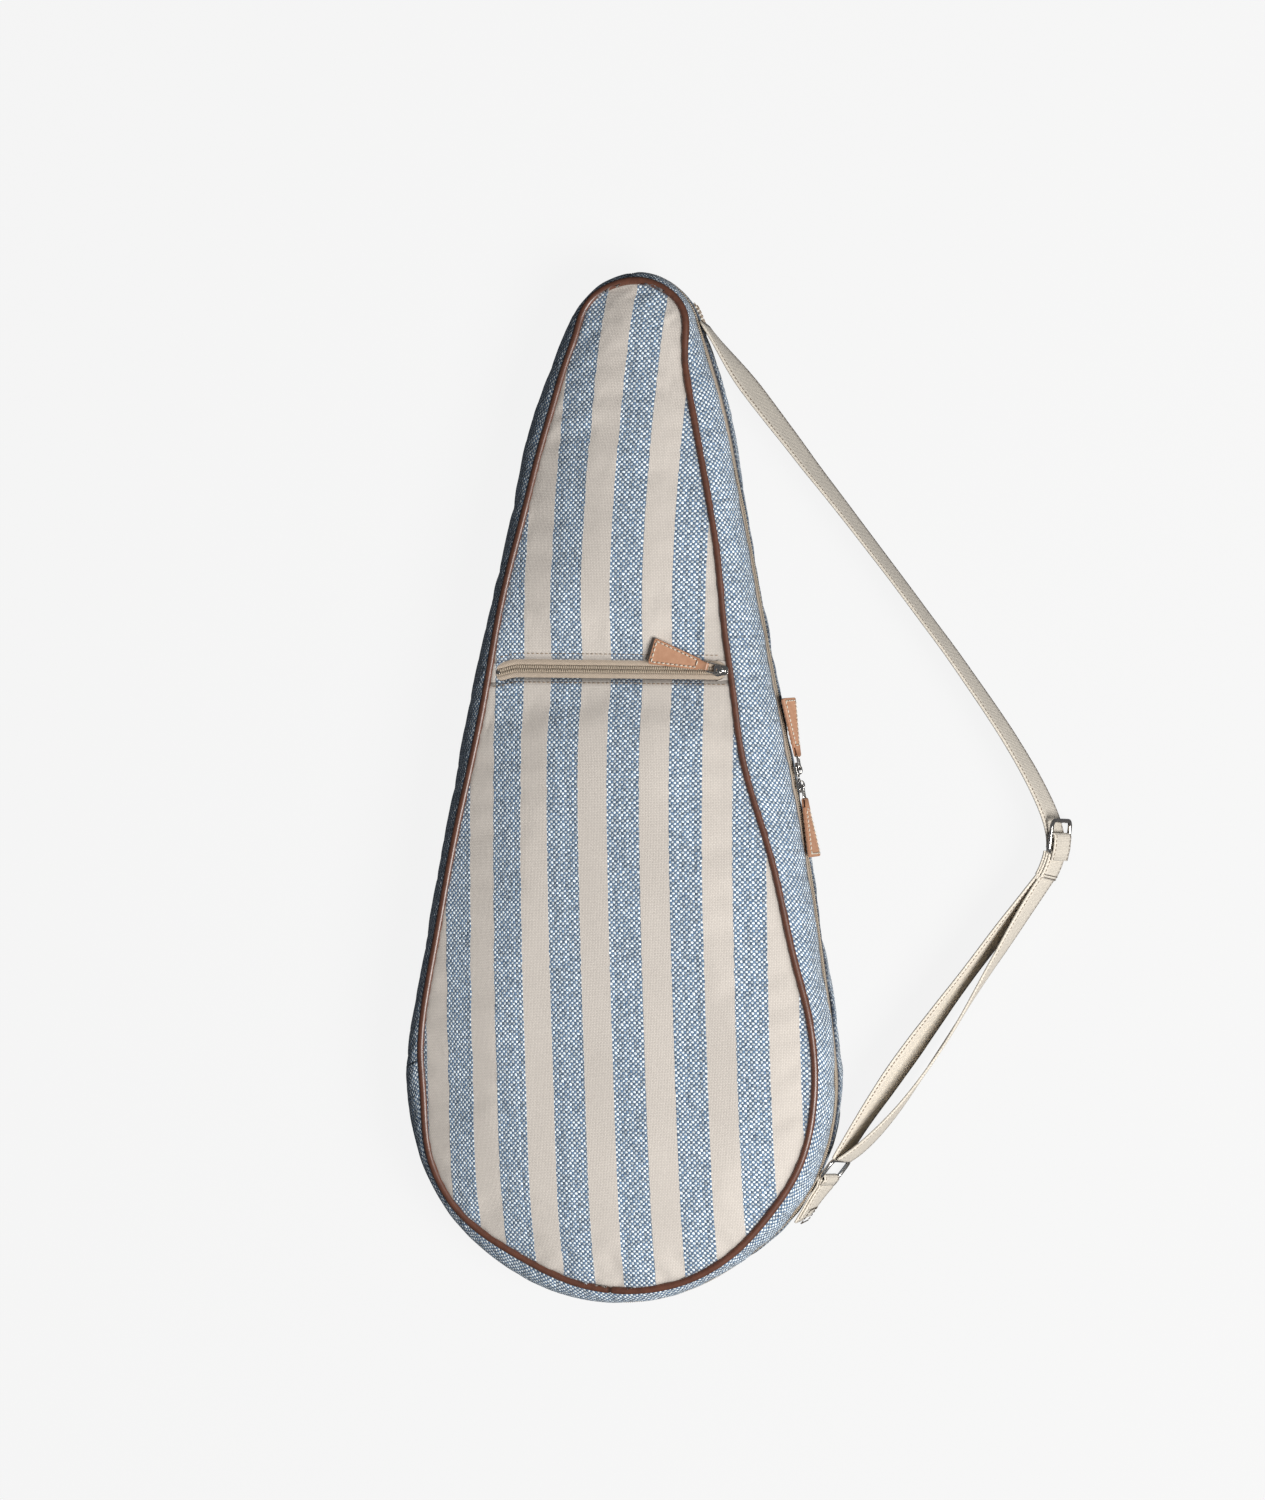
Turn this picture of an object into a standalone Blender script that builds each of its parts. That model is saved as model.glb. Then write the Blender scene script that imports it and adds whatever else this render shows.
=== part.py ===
"""Racket cover lying on its back: striped front over a deep zipped gusset, leather piping and a side strap.

Metres, +Z up out of the striped front, +Y towards the narrow grip end, +X towards the strap.
The centre of the head circle is at x = 0, y = 0 while the outlines are drawn, and BASE_Y then
moves everything so that the middle of the cover is over the origin.
"""

from math import atan2, cos, pi, radians, sin, sqrt

import bpy
import numpy as np
from mathutils import Matrix, Vector

# Overall sizes
HEAD_RADIUS = 0.157
TIP_RADIUS = 0.049
CENTRE_SPAN = 0.534
FLANK_RADIUS = 3.3
DEPTH = 0.072
END_DROP = 0.014
END_POWER = 2.4

# Flat panels and the belly of the gusset
PANEL_INSET = 0.0105
PANEL_FLANK_RADIUS = 20.0
PANEL_THICKNESS = 0.0020
CROWN = 0.0085
CROWN_REACH = 0.026
CROWN_VALLEY = 0.048
FRONT_PANEL_DROP = 0.0010
GUSSET_THICKNESS = 0.0020
LINING_THICKNESS = 0.0012
FRONT_LINING_DROP = 0.0115
PIPING_RADIUS = 0.0022
GAP = 0.0003

# Main zip, in the middle of the gusset
ZIP_HALF_OPENING = 0.0080
TAPE_THICKNESS = 0.0008
TAPE_DEPTH = 0.0008
COIL_HALF_WIDTH = 0.0016
COIL_THICKNESS = 0.0018
COIL_DEPTH = 0.0002
SEAM_HALF_GAP = 0.00015
STOP_LENGTH = 0.0030
SLIDERS_MEET_Y = 0.222

# Pocket zip, across the front panel
POCKET_ZIP_Y = 0.297
POCKET_HALF_OPENING = 0.0065
POCKET_SLIDER_EDGE = 0.0110
POUCH_DROP = 0.205
POUCH_EDGE = 0.012
POUCH_DEPTH = 0.0055
POUCH_THICKNESS = 0.0010

# Sliders, their rings and the leather pullers
SLIDER_LENGTH = 0.0105
SLIDER_WIDTH = 0.0090
SLIDER_THICKNESS = 0.0015
LOOP_LENGTH = 0.0058
LOOP_WIDTH = 0.0024
LOOP_OPENING = 0.0034
LOOP_RISE = 0.0028
LOOP_WALL = 0.0009
RING_WIRE = 0.0012
RING_WIDTH = 0.0076
RING_LENGTH = 0.0120
PULLER_LENGTH = 0.0400
PULLER_WIDE = 0.0190
PULLER_NARROW = 0.0080
PULLER_THICKNESS = 0.0022
POCKET_PULLER_TILT = radians(15)

# Shoulder strap
WEBBING_WIDTH = 0.032
WEBBING_THICKNESS = 0.0018
WEBBING_BASE = 0.0045
STRAP_WIRE = 0.0030
BUCKLE_LENGTH = 0.026
STRAP_RING_LENGTH = 0.019
STRAP_PIVOT_HEIGHT = 0.038
STRAP_START_HEADING = radians(-54)
BUCKLE_AT = (0.309, 0.184)
BUCKLE_HEADING = radians(-96)
LOOP_TOP = (0.302, 0.156)
STRAP_RING_ANGLE = radians(-20)
STRAP_RING_STANDOFF = 0.0069
STRAP_RING_HEADING = radians(-126)
TAB_END_ANGLE = radians(-36)

# Counts that only set how finely curves are cut
HEAD_STEPS = 44
FLANK_STEPS = 12
TIP_STEPS = 20
WALL_STEPS = 6
SHEET_STEPS = 20
ROW_STEPS = 26

MIDDLE = DEPTH / 2
HALF_LENGTH = (HEAD_RADIUS + CENTRE_SPAN + TIP_RADIUS) / 2
CENTRE_Y = (CENTRE_SPAN + TIP_RADIUS - HEAD_RADIUS) / 2
BASE_Y = -CENTRE_Y


def material(name, colour, roughness, metallic=0.0):
    made = bpy.data.materials.new(name)
    made.use_nodes = True
    shader = made.node_tree.nodes["Principled BSDF"]
    shader.inputs["Base Color"].default_value = (*colour, 1)
    shader.inputs["Roughness"].default_value = roughness
    shader.inputs["Metallic"].default_value = metallic
    return made


def signed_volume(points, faces):
    total = 0.0
    for face in faces:
        for k in range(1, len(face) - 1):
            a, b, c = points[face[0]], points[face[k]], points[face[k + 1]]
            total += np.dot(a, np.cross(b, c))
    return total


def add_solid(name, points, faces, look, origin=(0.0, 0.0, 0.0)):
    """One closed mesh, facing out, with its origin at the point given."""
    points = np.array(points, float)
    if signed_volume(points, faces) < 0:
        faces = [tuple(reversed(face)) for face in faces]
    shift = np.array([0.0, BASE_Y, 0.0])
    origin = np.array(origin, float)
    mesh = bpy.data.meshes.new(name)
    mesh.from_pydata([tuple(p) for p in points - origin], [], [tuple(f) for f in faces])
    mesh.validate()
    mesh.materials.append(look)
    made = bpy.data.objects.new(name, mesh)
    made.location = Vector(origin + shift)
    bpy.context.scene.collection.objects.link(made)
    return made


def sweep_faces(count, sides, closed):
    """Quads between sections that follow each other, with end caps when the path is open."""
    faces = []
    for i in range(count if closed else count - 1):
        j = (i + 1) % count
        for k in range(sides):
            m = (k + 1) % sides
            faces.append((i * sides + k, i * sides + m, j * sides + m, j * sides + k))
    if not closed:
        faces.append(tuple(reversed(range(sides))))
        faces.append(tuple((count - 1) * sides + k for k in range(sides)))
    return faces


def add_sweep(name, sections, closed, look, origin=(0.0, 0.0, 0.0)):
    sections = np.array(sections, float)
    count, sides = sections.shape[:2]
    points = sections.reshape(-1, 3)
    return add_solid(name, points, sweep_faces(count, sides, closed), look, origin)


def add_plate(name, loop, low, high, look, origin=(0.0, 0.0, 0.0)):
    """A flat plate between two heights, over a closed loop of (x, y)."""
    sections = [[(x, y, low) for x, y in loop], [(x, y, high) for x, y in loop]]
    return add_sweep(name, sections, False, look, origin)


def outline(head, tip, flank):
    """(points, normals) round the cover: head, right flank, tip, left flank, anticlockwise."""
    along = ((flank - head) ** 2 - (flank - tip) ** 2 + CENTRE_SPAN**2) / (2 * CENTRE_SPAN)
    across = sqrt((flank - head) ** 2 - along**2)
    low = atan2(-along, across)
    high = atan2(CENTRE_SPAN - along, across)
    points = []
    normals = []

    def arc(x, y, radius, start, end, steps):
        for k in range(steps):
            turn = start + (end - start) * k / steps
            points.append((x + radius * cos(turn), y + radius * sin(turn)))
            normals.append((cos(turn), sin(turn)))

    arc(0, 0, head, -pi - low, low, HEAD_STEPS)
    arc(-across, along, flank, low, high, FLANK_STEPS)
    arc(0, CENTRE_SPAN, tip, high, pi - high, TIP_STEPS)
    arc(across, along, flank, pi - high, pi - low, FLANK_STEPS)
    return np.array(points), np.array(normals), (across, along, low, high)


BELLY, BELLY_NORMALS, FLANK = outline(HEAD_RADIUS, TIP_RADIUS, FLANK_RADIUS)
EDGE, EDGE_NORMALS, _ = outline(
    HEAD_RADIUS - PANEL_INSET, TIP_RADIUS - PANEL_INSET, PANEL_FLANK_RADIUS
)
COUNT = len(BELLY)
ZIP_START = 1
ZIP_END = HEAD_STEPS + FLANK_STEPS + TIP_STEPS - 1
FLANK_ACROSS, FLANK_ALONG, FLANK_LOW, FLANK_HIGH = FLANK


def edge_height(y):
    """Height of the front edge, which falls towards the tip and the head."""
    return DEPTH - END_DROP * min(1.0, abs(y - CENTRE_Y) / HALF_LENGTH) ** END_POWER


def crown(x, y, half_width):
    """How far the padded front stands above its edge. It is flat along the pocket zip."""
    if y < 0:
        inside = HEAD_RADIUS - PANEL_INSET - sqrt(x * x + y * y)
    elif y > CENTRE_SPAN:
        inside = TIP_RADIUS - PANEL_INSET - sqrt(x * x + (y - CENTRE_SPAN) ** 2)
    else:
        inside = half_width - abs(x)
    rise = 1 - np.exp(-max(0.0, inside) / CROWN_REACH)
    valley = 1 - np.exp(-(((y - POCKET_ZIP_Y) / CROWN_VALLEY) ** 2))
    return CROWN * rise * valley


def wall(i, climb, depth=0.0):
    """A point on the wall of the gusset: climb -1 at the back edge, 0 at the belly, 1 in front."""
    lean = sqrt(max(0.0, 1 - climb**2))
    flat = BELLY[i] + (EDGE[i] - BELLY[i]) * (1 - lean)
    inset = np.linalg.norm(EDGE[i] - BELLY[i])
    out = np.array([lean * MIDDLE, climb * inset])
    out /= np.linalg.norm(out)
    flat = flat - BELLY_NORMALS[i] * out[0] * depth
    rise = MIDDLE if climb < 0 else edge_height(BELLY[i][1]) - MIDDLE
    return (flat[0], flat[1], MIDDLE + rise * climb - out[1] * depth)


def wall_section(i, start, end, near, far, steps):
    """A closed strip of the wall between two climbs and two depths below its outer face."""
    climbs = np.linspace(start, end, steps + 1)
    outer = [wall(i, c, near) for c in climbs]
    inner = [wall(i, c, far) for c in reversed(climbs)]
    return outer + inner


def edge_climb(i):
    """How far up the wall the gusset runs before it meets the piping."""
    inset = np.linalg.norm(EDGE[i] - BELLY[i])
    share = (1.2 * PIPING_RADIUS + 2 * GAP + GUSSET_THICKNESS) / inset
    return sqrt(1 - share**2)


def add_gusset(name, side, look):
    sections = []
    for i in range(COUNT):
        zipped = ZIP_START <= i <= ZIP_END
        start = (ZIP_HALF_OPENING if zipped else SEAM_HALF_GAP) / MIDDLE
        climbs = np.linspace(np.arcsin(start), np.arcsin(edge_climb(i)), WALL_STEPS + 1)
        outer = [wall(i, side * sin(c), 0.0) for c in climbs]
        inner = [wall(i, side * sin(c), GUSSET_THICKNESS) for c in reversed(climbs)]
        sections.append(outer + inner)
    return add_sweep(name, sections, True, look)


def add_zip_strip(name, side, low, high, near, depth, look):
    sections = []
    for i in range(ZIP_START + 1, ZIP_END):
        sections.append(
            wall_section(i, side * low / MIDDLE, side * high / MIDDLE, near, near + depth, 1)
        )
    return add_sweep(name, sections, False, look)


def add_piping(name, height_at, look):
    sections = []
    for i in range(COUNT):
        ring = []
        height = height_at(EDGE[i][1])
        for k in range(8):
            turn = 2 * pi * (k + 0.5) / 8
            out = EDGE_NORMALS[i] * cos(turn) * PIPING_RADIUS
            ring.append((*(EDGE[i] + out), height + sin(turn) * PIPING_RADIUS))
        sections.append(ring)
    return add_sweep(name, sections, True, look)


def inner_loop(points, normals, inset):
    return points - normals * inset


def cut_loop(loop, low=None, high=None):
    """The part of a closed loop between two values of y, with its cut edges straight."""
    kept = []
    for k in range(len(loop)):
        a, b = loop[k], loop[(k + 1) % len(loop)]
        inside = (low is None or a[1] >= low) and (high is None or a[1] <= high)
        if inside:
            kept.append(tuple(a))
        for limit in (low, high):
            if limit is not None and (a[1] - limit) * (b[1] - limit) < 0:
                share = (limit - a[1]) / (b[1] - a[1])
                kept.append((a[0] + (b[0] - a[0]) * share, limit))
    return kept


def half_width_at(y, inset):
    """Half the width of the front outline at y, drawn in by the inset."""
    loop = inner_loop(EDGE, EDGE_NORMALS, inset)
    right = sorted((p[1], p[0]) for p in loop if p[0] > 0)
    return float(np.interp(y, [p[0] for p in right], [p[1] for p in right]))


def add_sheet(name, levels, inset, height_at, thickness, look):
    """A sheet across the cover, row by row in y, whose upper face follows height_at(x, y, w)."""
    sections = []
    for y in levels:
        half = half_width_at(y, inset)
        across = half * np.sin(np.linspace(-pi / 2, pi / 2, SHEET_STEPS + 1))
        upper = [(x, y, height_at(x, y, half)) for x in across]
        lower = [(x, y, z - thickness) for x, y, z in reversed(upper)]
        sections.append(upper + lower)
    return add_sweep(name, sections, False, look)


def ruled_plate(name, low_at, high_at, left, right, bottom, top, look):
    """A plate between two straight ends in y whose left and right edges follow functions of y."""
    levels = np.linspace(low_at, high_at, 3)
    loop = [(right(y), y) for y in levels] + [(left(y), y) for y in reversed(levels)]
    return add_plate(name, loop, bottom, top, look)


def frame_box(frame, low, high):
    """Eight corners of a box in a local frame of origin, along, across and out."""
    origin, along, across, out = frame
    corners = []
    for c in (low[2], high[2]):
        for a, b in ((low[0], low[1]), (high[0], low[1]), (high[0], high[1]), (low[0], high[1])):
            corners.append(origin + along * a + across * b + out * c)
    return corners


def local(frame, a, b, c):
    origin, along, across, out = frame
    return origin + along * a + across * b + out * c


def add_slider(name, frame, look):
    """A tapered plate over the zip with a loop standing on it, drawn as one swept side view."""
    origin, along, across, out = frame
    half = SLIDER_LENGTH / 2
    foot = LOOP_LENGTH / 2
    hole = LOOP_OPENING / 2
    low = 2 * GAP
    top = low + SLIDER_THICKNESS
    crown = top + LOOP_RISE
    plate_low = []
    for a, b in ((-half, 0.34), (-half * 0.7, 0.5), (half * 0.7, 0.5), (half, 0.36)):
        plate_low.append((a, b * SLIDER_WIDTH))
    ring = plate_low + [(a, -b) for a, b in reversed(plate_low)]
    sections = [
        [local(frame, a, b, low) for a, b in ring],
        [local(frame, a, b, top - 0.0004) for a, b in ring],
        [local(frame, a * 0.92, b * 0.90, top) for a, b in ring],
    ]
    plate = add_sweep(name, sections, False, look, frame[0])
    profile = [
        (-foot, top - 0.0006),
        (-foot, top + LOOP_RISE * 0.6),
        (-hole, crown),
        (hole, crown),
        (foot, top + LOOP_RISE * 0.6),
        (foot, top - 0.0006),
        (hole, top - 0.0006),
        (hole, top + LOOP_RISE * 0.5),
        (hole * 0.6, crown - LOOP_WALL),
        (-hole * 0.6, crown - LOOP_WALL),
        (-hole, top + LOOP_RISE * 0.5),
        (-hole, top - 0.0006),
    ]
    sides = [
        [local(frame, a, -LOOP_WIDTH / 2, c) for a, c in profile],
        [local(frame, a, LOOP_WIDTH / 2, c) for a, c in profile],
    ]
    loop = add_sweep(name + ".loop", sides, False, look, frame[0])
    join(plate, loop)
    return plate


def join(body, other):
    """Unites another solid with the body, and keeps the result as the body's mesh."""
    union = body.modifiers.new("union", "BOOLEAN")
    union.operation = "UNION"
    union.solver = "EXACT"
    union.object = other
    graph = bpy.context.evaluated_depsgraph_get()
    mesh = bpy.data.meshes.new_from_object(body.evaluated_get(graph))
    body.modifiers.remove(union)
    body.data = mesh
    bpy.data.objects.remove(other)


def add_ring(name, centre, along, across, out, length, width, wire, look, origin):
    """A flat ring of wire: rounded corners, with the length and width measured over the wire."""
    corner = min(length, width) * 0.28
    half_a = length / 2 - wire / 2 - corner
    half_b = width / 2 - wire / 2 - corner
    sections = []
    for sign_a, sign_b, start in ((1, 1, 0), (-1, 1, 90), (-1, -1, 180), (1, -1, 270)):
        for k in range(4):
            turn = radians(start + 90 * k / 3)
            heading = along * cos(turn) + across * sin(turn)
            middle = centre + along * sign_a * half_a + across * sign_b * half_b + heading * corner
            section = []
            for m in range(8):
                roll = 2 * pi * (m + 0.5) / 8
                section.append(middle + (heading * cos(roll) + out * sin(roll)) * wire / 2)
            sections.append(section)
    return add_sweep(name, sections, True, look, origin)


def add_puller(name, frame, low, look, origin):
    """A leather tag that widens away from its ring, with its corners cut."""
    start = RING_LENGTH - RING_WIRE + GAP * 2
    end = start + PULLER_LENGTH
    narrow = PULLER_NARROW / 2
    wide = PULLER_WIDE / 2
    cut = 0.0025
    side = [
        (start, narrow * 0.8),
        (start + cut, narrow),
        (start + 0.009, narrow),
        (end - cut, wide),
        (end, wide - cut),
    ]
    ring = side + [(a, -b) for a, b in reversed(side)]
    sections = [
        [local(frame, a, b, low) for a, b in ring],
        [local(frame, a, b, low + PULLER_THICKNESS) for a, b in ring],
    ]
    return add_sweep(name, sections, False, look, origin)


def add_pull(prefix, frame, tilt, looks):
    """Ring and leather puller on a slider's loop, both turning about the ring's near bar."""
    origin, along, across, out = frame
    metal, leather = looks
    height = 2 * GAP + SLIDER_THICKNESS + (LOOP_RISE - LOOP_WALL) / 2 + RING_WIRE * 0.15
    pivot = origin + out * height
    turned = along * cos(tilt) + across * sin(tilt)
    side = across * cos(tilt) - along * sin(tilt)
    centre = pivot + turned * (RING_LENGTH - RING_WIRE) / 2
    add_ring(
        prefix + "_ring", centre, turned, side, out, RING_LENGTH, RING_WIDTH, RING_WIRE, metal, pivot
    )
    pull_frame = (pivot, turned, side, out)
    add_puller(prefix + "_puller", pull_frame, -PULLER_THICKNESS * 0.6, leather, pivot)


def bezier(a, b, c, d, steps):
    """Points and headings along a cubic curve in the plane."""
    a, b, c, d = (np.array(p, float) for p in (a, b, c, d))
    points = []
    headings = []
    for t in np.linspace(0, 1, steps + 1):
        u = 1 - t
        points.append(a * u**3 + 3 * b * u * u * t + 3 * c * u * t * t + d * t**3)
        slope = (b - a) * u * u + 2 * (c - b) * u * t + (d - c) * t * t
        headings.append(slope / np.linalg.norm(slope))
    return np.array(points), np.array(headings)


def direction(angle):
    return np.array([cos(angle), sin(angle)])


def add_ribbon(name, points, headings, low, high, thickness, look, origin=(0.0, 0.0, 0.0)):
    """Webbing standing on its edge along a path in plan."""
    sections = []
    for point, heading in zip(points, headings):
        side = np.array([-heading[1], heading[0]]) * thickness / 2
        a = point + side
        b = point - side
        sections.append([(*a, low), (*b, low), (*b, high), (*a, high)])
    return add_sweep(name, sections, False, look, origin)


def move_origin(name, point):
    """Puts a node's origin at the point without moving the node."""
    node = bpy.data.objects[name]
    shift = Vector(point) + Vector((0, BASE_Y, 0)) - node.location
    node.data.transform(Matrix.Translation(-shift))
    node.location += shift


COVER_NODES = (
    "front_panel_upper",
    "front_panel_lower",
    "front_lining",
    "front_piping",
    "gusset_front",
    "main_zip_tape_front",
    "main_zip_coil_front",
    "main_zip_stop_front_tip",
    "main_zip_stop_front_head",
    "pocket_zip_tape_upper",
    "pocket_zip_tape_lower",
    "pocket_zip_coil_upper",
    "pocket_zip_coil_lower",
    "pocket_zip_stop_left",
    "pocket_zip_stop_right",
    "pocket_pouch",
)


def build():
    for found in list(bpy.data.objects):
        bpy.data.objects.remove(found)

    stripe = material("striped_canvas", (0.55, 0.60, 0.66), 0.9)
    blue = material("blue_canvas", (0.36, 0.47, 0.63), 0.9)
    leather = material("tan_leather", (0.50, 0.27, 0.15), 0.55)
    tape = material("zip_tape", (0.45, 0.38, 0.30), 0.85)
    coil = material("zip_coil", (0.62, 0.55, 0.45), 0.5)
    metal = material("nickel", (0.75, 0.74, 0.72), 0.2, 1.0)
    cotton = material("cotton_webbing", (0.80, 0.73, 0.64), 0.9)
    lining = material("lining", (0.72, 0.68, 0.60), 0.9)

    # Front and back panels and their linings
    inset = PIPING_RADIUS + GAP
    front_high = edge_height(POCKET_ZIP_Y) - FRONT_PANEL_DROP
    front_low = front_high - PANEL_THICKNESS

    def front(x, y, half):
        return edge_height(y) - FRONT_PANEL_DROP + crown(x, y, half)

    bottom = -(HEAD_RADIUS - PANEL_INSET) + inset + 0.0004
    top = CENTRE_SPAN + TIP_RADIUS - PANEL_INSET - inset - 0.0004
    ease = 1 - np.cos(np.linspace(0, pi / 2, ROW_STEPS + 1))
    lower = bottom + (POCKET_ZIP_Y - POCKET_HALF_OPENING - bottom) * ease
    upper = top + (POCKET_ZIP_Y + POCKET_HALF_OPENING - top) * ease[::-1]
    add_sheet("front_panel_upper", upper, inset, front, PANEL_THICKNESS, stripe)
    add_sheet("front_panel_lower", lower, inset, front, PANEL_THICKNESS, stripe)
    panel = inner_loop(EDGE, EDGE_NORMALS, inset)
    add_plate("back_panel", panel, 0.0, PANEL_THICKNESS, stripe)
    whole = np.concatenate([lower, upper])
    add_sheet(
        "front_lining", whole, inset, lambda x, y, half: edge_height(y) - FRONT_LINING_DROP,
        LINING_THICKNESS, lining,
    )
    back_low = PANEL_THICKNESS + GAP
    back_lining = inner_loop(EDGE, EDGE_NORMALS, PIPING_RADIUS + 2 * GAP)
    add_plate("back_lining", back_lining, back_low, back_low + LINING_THICKNESS, lining)

    # Piping and gusset
    add_piping("front_piping", lambda y: edge_height(y) - PIPING_RADIUS, leather)
    add_piping("back_piping", lambda y: PIPING_RADIUS + 0.0001, leather)
    add_gusset("gusset_front", 1, blue)
    add_gusset("gusset_back", -1, blue)

    # Main zip
    tape_low = COIL_HALF_WIDTH + GAP
    tape_high = ZIP_HALF_OPENING - GAP
    for side, word in ((1, "front"), (-1, "back")):
        add_zip_strip(
            "main_zip_tape_" + word, side, tape_low, tape_high, TAPE_DEPTH, TAPE_THICKNESS, tape
        )
        add_zip_strip(
            "main_zip_coil_" + word, side, SEAM_HALF_GAP, COIL_HALF_WIDTH, COIL_DEPTH, COIL_THICKNESS, coil
        )

    # Pocket zip
    def strip(name, low, high, bottom, top, inset, look):
        ruled_plate(
            name, low, high, lambda y: -half_width_at(y, inset), lambda y: half_width_at(y, inset), bottom, top, look
        )

    tape_top = front_high - TAPE_DEPTH
    coil_top = front_high - COIL_DEPTH
    middle = POCKET_ZIP_Y
    for sign, word in ((1, "upper"), (-1, "lower")):
        near, far = middle + sign * tape_low, middle + sign * (POCKET_HALF_OPENING - GAP)
        strip(
            "pocket_zip_tape_" + word, min(near, far), max(near, far),
            tape_top - TAPE_THICKNESS, tape_top, inset, tape,
        )
        near, far = middle + sign * SEAM_HALF_GAP, middle + sign * COIL_HALF_WIDTH
        strip(
            "pocket_zip_coil_" + word, min(near, far), max(near, far),
            coil_top - COIL_THICKNESS, coil_top, inset + STOP_LENGTH + GAP, coil,
        )
    for sign, word in ((-1, "left"), (1, "right")):
        reach = half_width_at(middle, inset) - GAP
        ends = sorted((sign * reach, sign * (reach - STOP_LENGTH + GAP)))
        loop = [
            (ends[0], middle - COIL_HALF_WIDTH),
            (ends[1], middle - COIL_HALF_WIDTH),
            (ends[1], middle + COIL_HALF_WIDTH),
            (ends[0], middle + COIL_HALF_WIDTH),
        ]
        add_plate("pocket_zip_stop_" + word, loop, coil_top - COIL_THICKNESS, coil_top + 0.0006, metal)

    # Pouch of the pocket, hung behind the lower panel
    pouch_top = POCKET_ZIP_Y - POCKET_HALF_OPENING - 0.002
    high = edge_height(pouch_top - POUCH_DROP) - FRONT_PANEL_DROP - PANEL_THICKNESS - GAP
    pouch_low = high - POUCH_DEPTH
    outer = cut_loop(inner_loop(EDGE, EDGE_NORMALS, POUCH_EDGE), pouch_top - POUCH_DROP, pouch_top)
    centre = np.mean(np.array(outer), axis=0)
    loop_out = np.array(outer)
    loop_in = centre + (loop_out - centre) * 0.985
    sections = [
        [(x, y, pouch_low) for x, y in loop_out],
        [(x, y, high) for x, y in loop_out],
        [(x, y, high) for x, y in loop_in],
        [(x, y, pouch_low + POUCH_THICKNESS) for x, y in loop_in],
    ]
    add_sweep("pocket_pouch", sections, False, lining)

    # Sliders, rings and pullers
    z_axis = np.array([0.0, 0.0, 1.0])
    turn = np.arcsin((SLIDERS_MEET_Y - FLANK_ALONG) / FLANK_RADIUS)
    step = (SLIDER_LENGTH / 2 + GAP) / FLANK_RADIUS
    for sign, word in ((1, "upper"), (-1, "lower")):
        at = turn + sign * step
        flat = np.array([-FLANK_ACROSS, FLANK_ALONG]) + FLANK_RADIUS * direction(at)
        out = np.array([cos(at), sin(at), 0.0])
        along = np.array([-sin(at), cos(at), 0.0]) * sign
        frame = (np.array([*flat, MIDDLE]), along, z_axis, out)
        add_slider("main_zip_slider_" + word, frame, metal)
        add_pull("main_zip_" + word, frame, 0.0, (metal, leather))
        move_origin("main_zip_slider_" + word, (-FLANK_ACROSS, FLANK_ALONG, MIDDLE))
    reach = half_width_at(middle, inset)
    frame = (
        np.array([reach - POCKET_SLIDER_EDGE, middle, front_high]),
        np.array([-1.0, 0.0, 0.0]),
        np.array([0.0, 1.0, 0.0]),
        z_axis,
    )
    add_slider("pocket_zip_slider", frame, metal)
    add_pull("pocket_zip", frame, POCKET_PULLER_TILT, (metal, leather))

    # Stops at the two ends of the main zip, one on each half
    for side, word in ((1, "front"), (-1, "back")):
        for index, place in ((ZIP_END, "tip"), (ZIP_START, "head")):
            inner_index = index - 1 if place == "tip" else index + 1
            share = GAP / np.linalg.norm(BELLY[index] - BELLY[inner_index])
            sections = []
            for portion in (share, share + STOP_LENGTH / np.linalg.norm(BELLY[index] - BELLY[inner_index])):
                near = wall_section(
                    inner_index, side * SEAM_HALF_GAP / MIDDLE, side * COIL_HALF_WIDTH / MIDDLE, 0.0, 0.0022, 1
                )
                far = wall_section(
                    index, side * SEAM_HALF_GAP / MIDDLE, side * COIL_HALF_WIDTH / MIDDLE, 0.0, 0.0022, 1
                )
                near, far = np.array(near), np.array(far)
                sections.append(near + (far - near) * portion)
            add_sweep("main_zip_stop_" + word + "_" + place, sections, False, metal)

    # Strap: anchor, upper length, buckle, doubled lower length, ring and tab
    low = WEBBING_BASE
    high = WEBBING_BASE + WEBBING_WIDTH
    mid = (low + high) / 2
    last = HEAD_STEPS + FLANK_STEPS
    down = np.array([BELLY_NORMALS[last][1], -BELLY_NORMALS[last][0]])
    start = BELLY[last] + BELLY_NORMALS[last] * (2 * GAP + WEBBING_THICKNESS / 2) + down * 0.0015
    buckle = np.array(BUCKLE_AT)
    loop_top = np.array(LOOP_TOP)
    ring = direction(STRAP_RING_ANGLE) * (HEAD_RADIUS + STRAP_RING_STANDOFF)
    heading = direction(STRAP_RING_HEADING)
    pivot = np.array([*start, STRAP_PIVOT_HEIGHT])
    into = direction(BUCKLE_HEADING)
    side = np.array([-into[1], into[0]])
    end = buckle + into * BUCKLE_LENGTH / 2
    path, headings = bezier(
        start, start + direction(STRAP_START_HEADING) * 0.150, end - into * 0.060, end, 24
    )
    add_ribbon("strap_upper", path, headings, low, high, WEBBING_THICKNESS, cotton, pivot)

    across = np.array([0.0, 0.0, 1.0])
    along3 = np.array([*into, 0.0])
    out3 = np.cross(along3, across)
    beside = side * (STRAP_WIRE / 2 + WEBBING_THICKNESS / 2 + GAP)
    centre = np.array([*(buckle + beside), mid])
    width = WEBBING_WIDTH + 2 * STRAP_WIRE + 0.0015
    add_ring(
        "strap_buckle_frame", centre, along3, across, out3, BUCKLE_LENGTH, width, STRAP_WIRE, metal, pivot
    )
    half_bar = WEBBING_WIDTH / 2 + 0.0015 / 2 - GAP
    bar = []
    for height in (-half_bar, half_bar):
        bar.append(
            [
                centre + across * height + (along3 * cos(t) + out3 * sin(t)) * STRAP_WIRE * 0.45
                for t in np.linspace(0, 2 * pi, 9)[:-1]
            ]
        )
    add_sweep("strap_buckle_bar", bar, False, metal, pivot)

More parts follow.
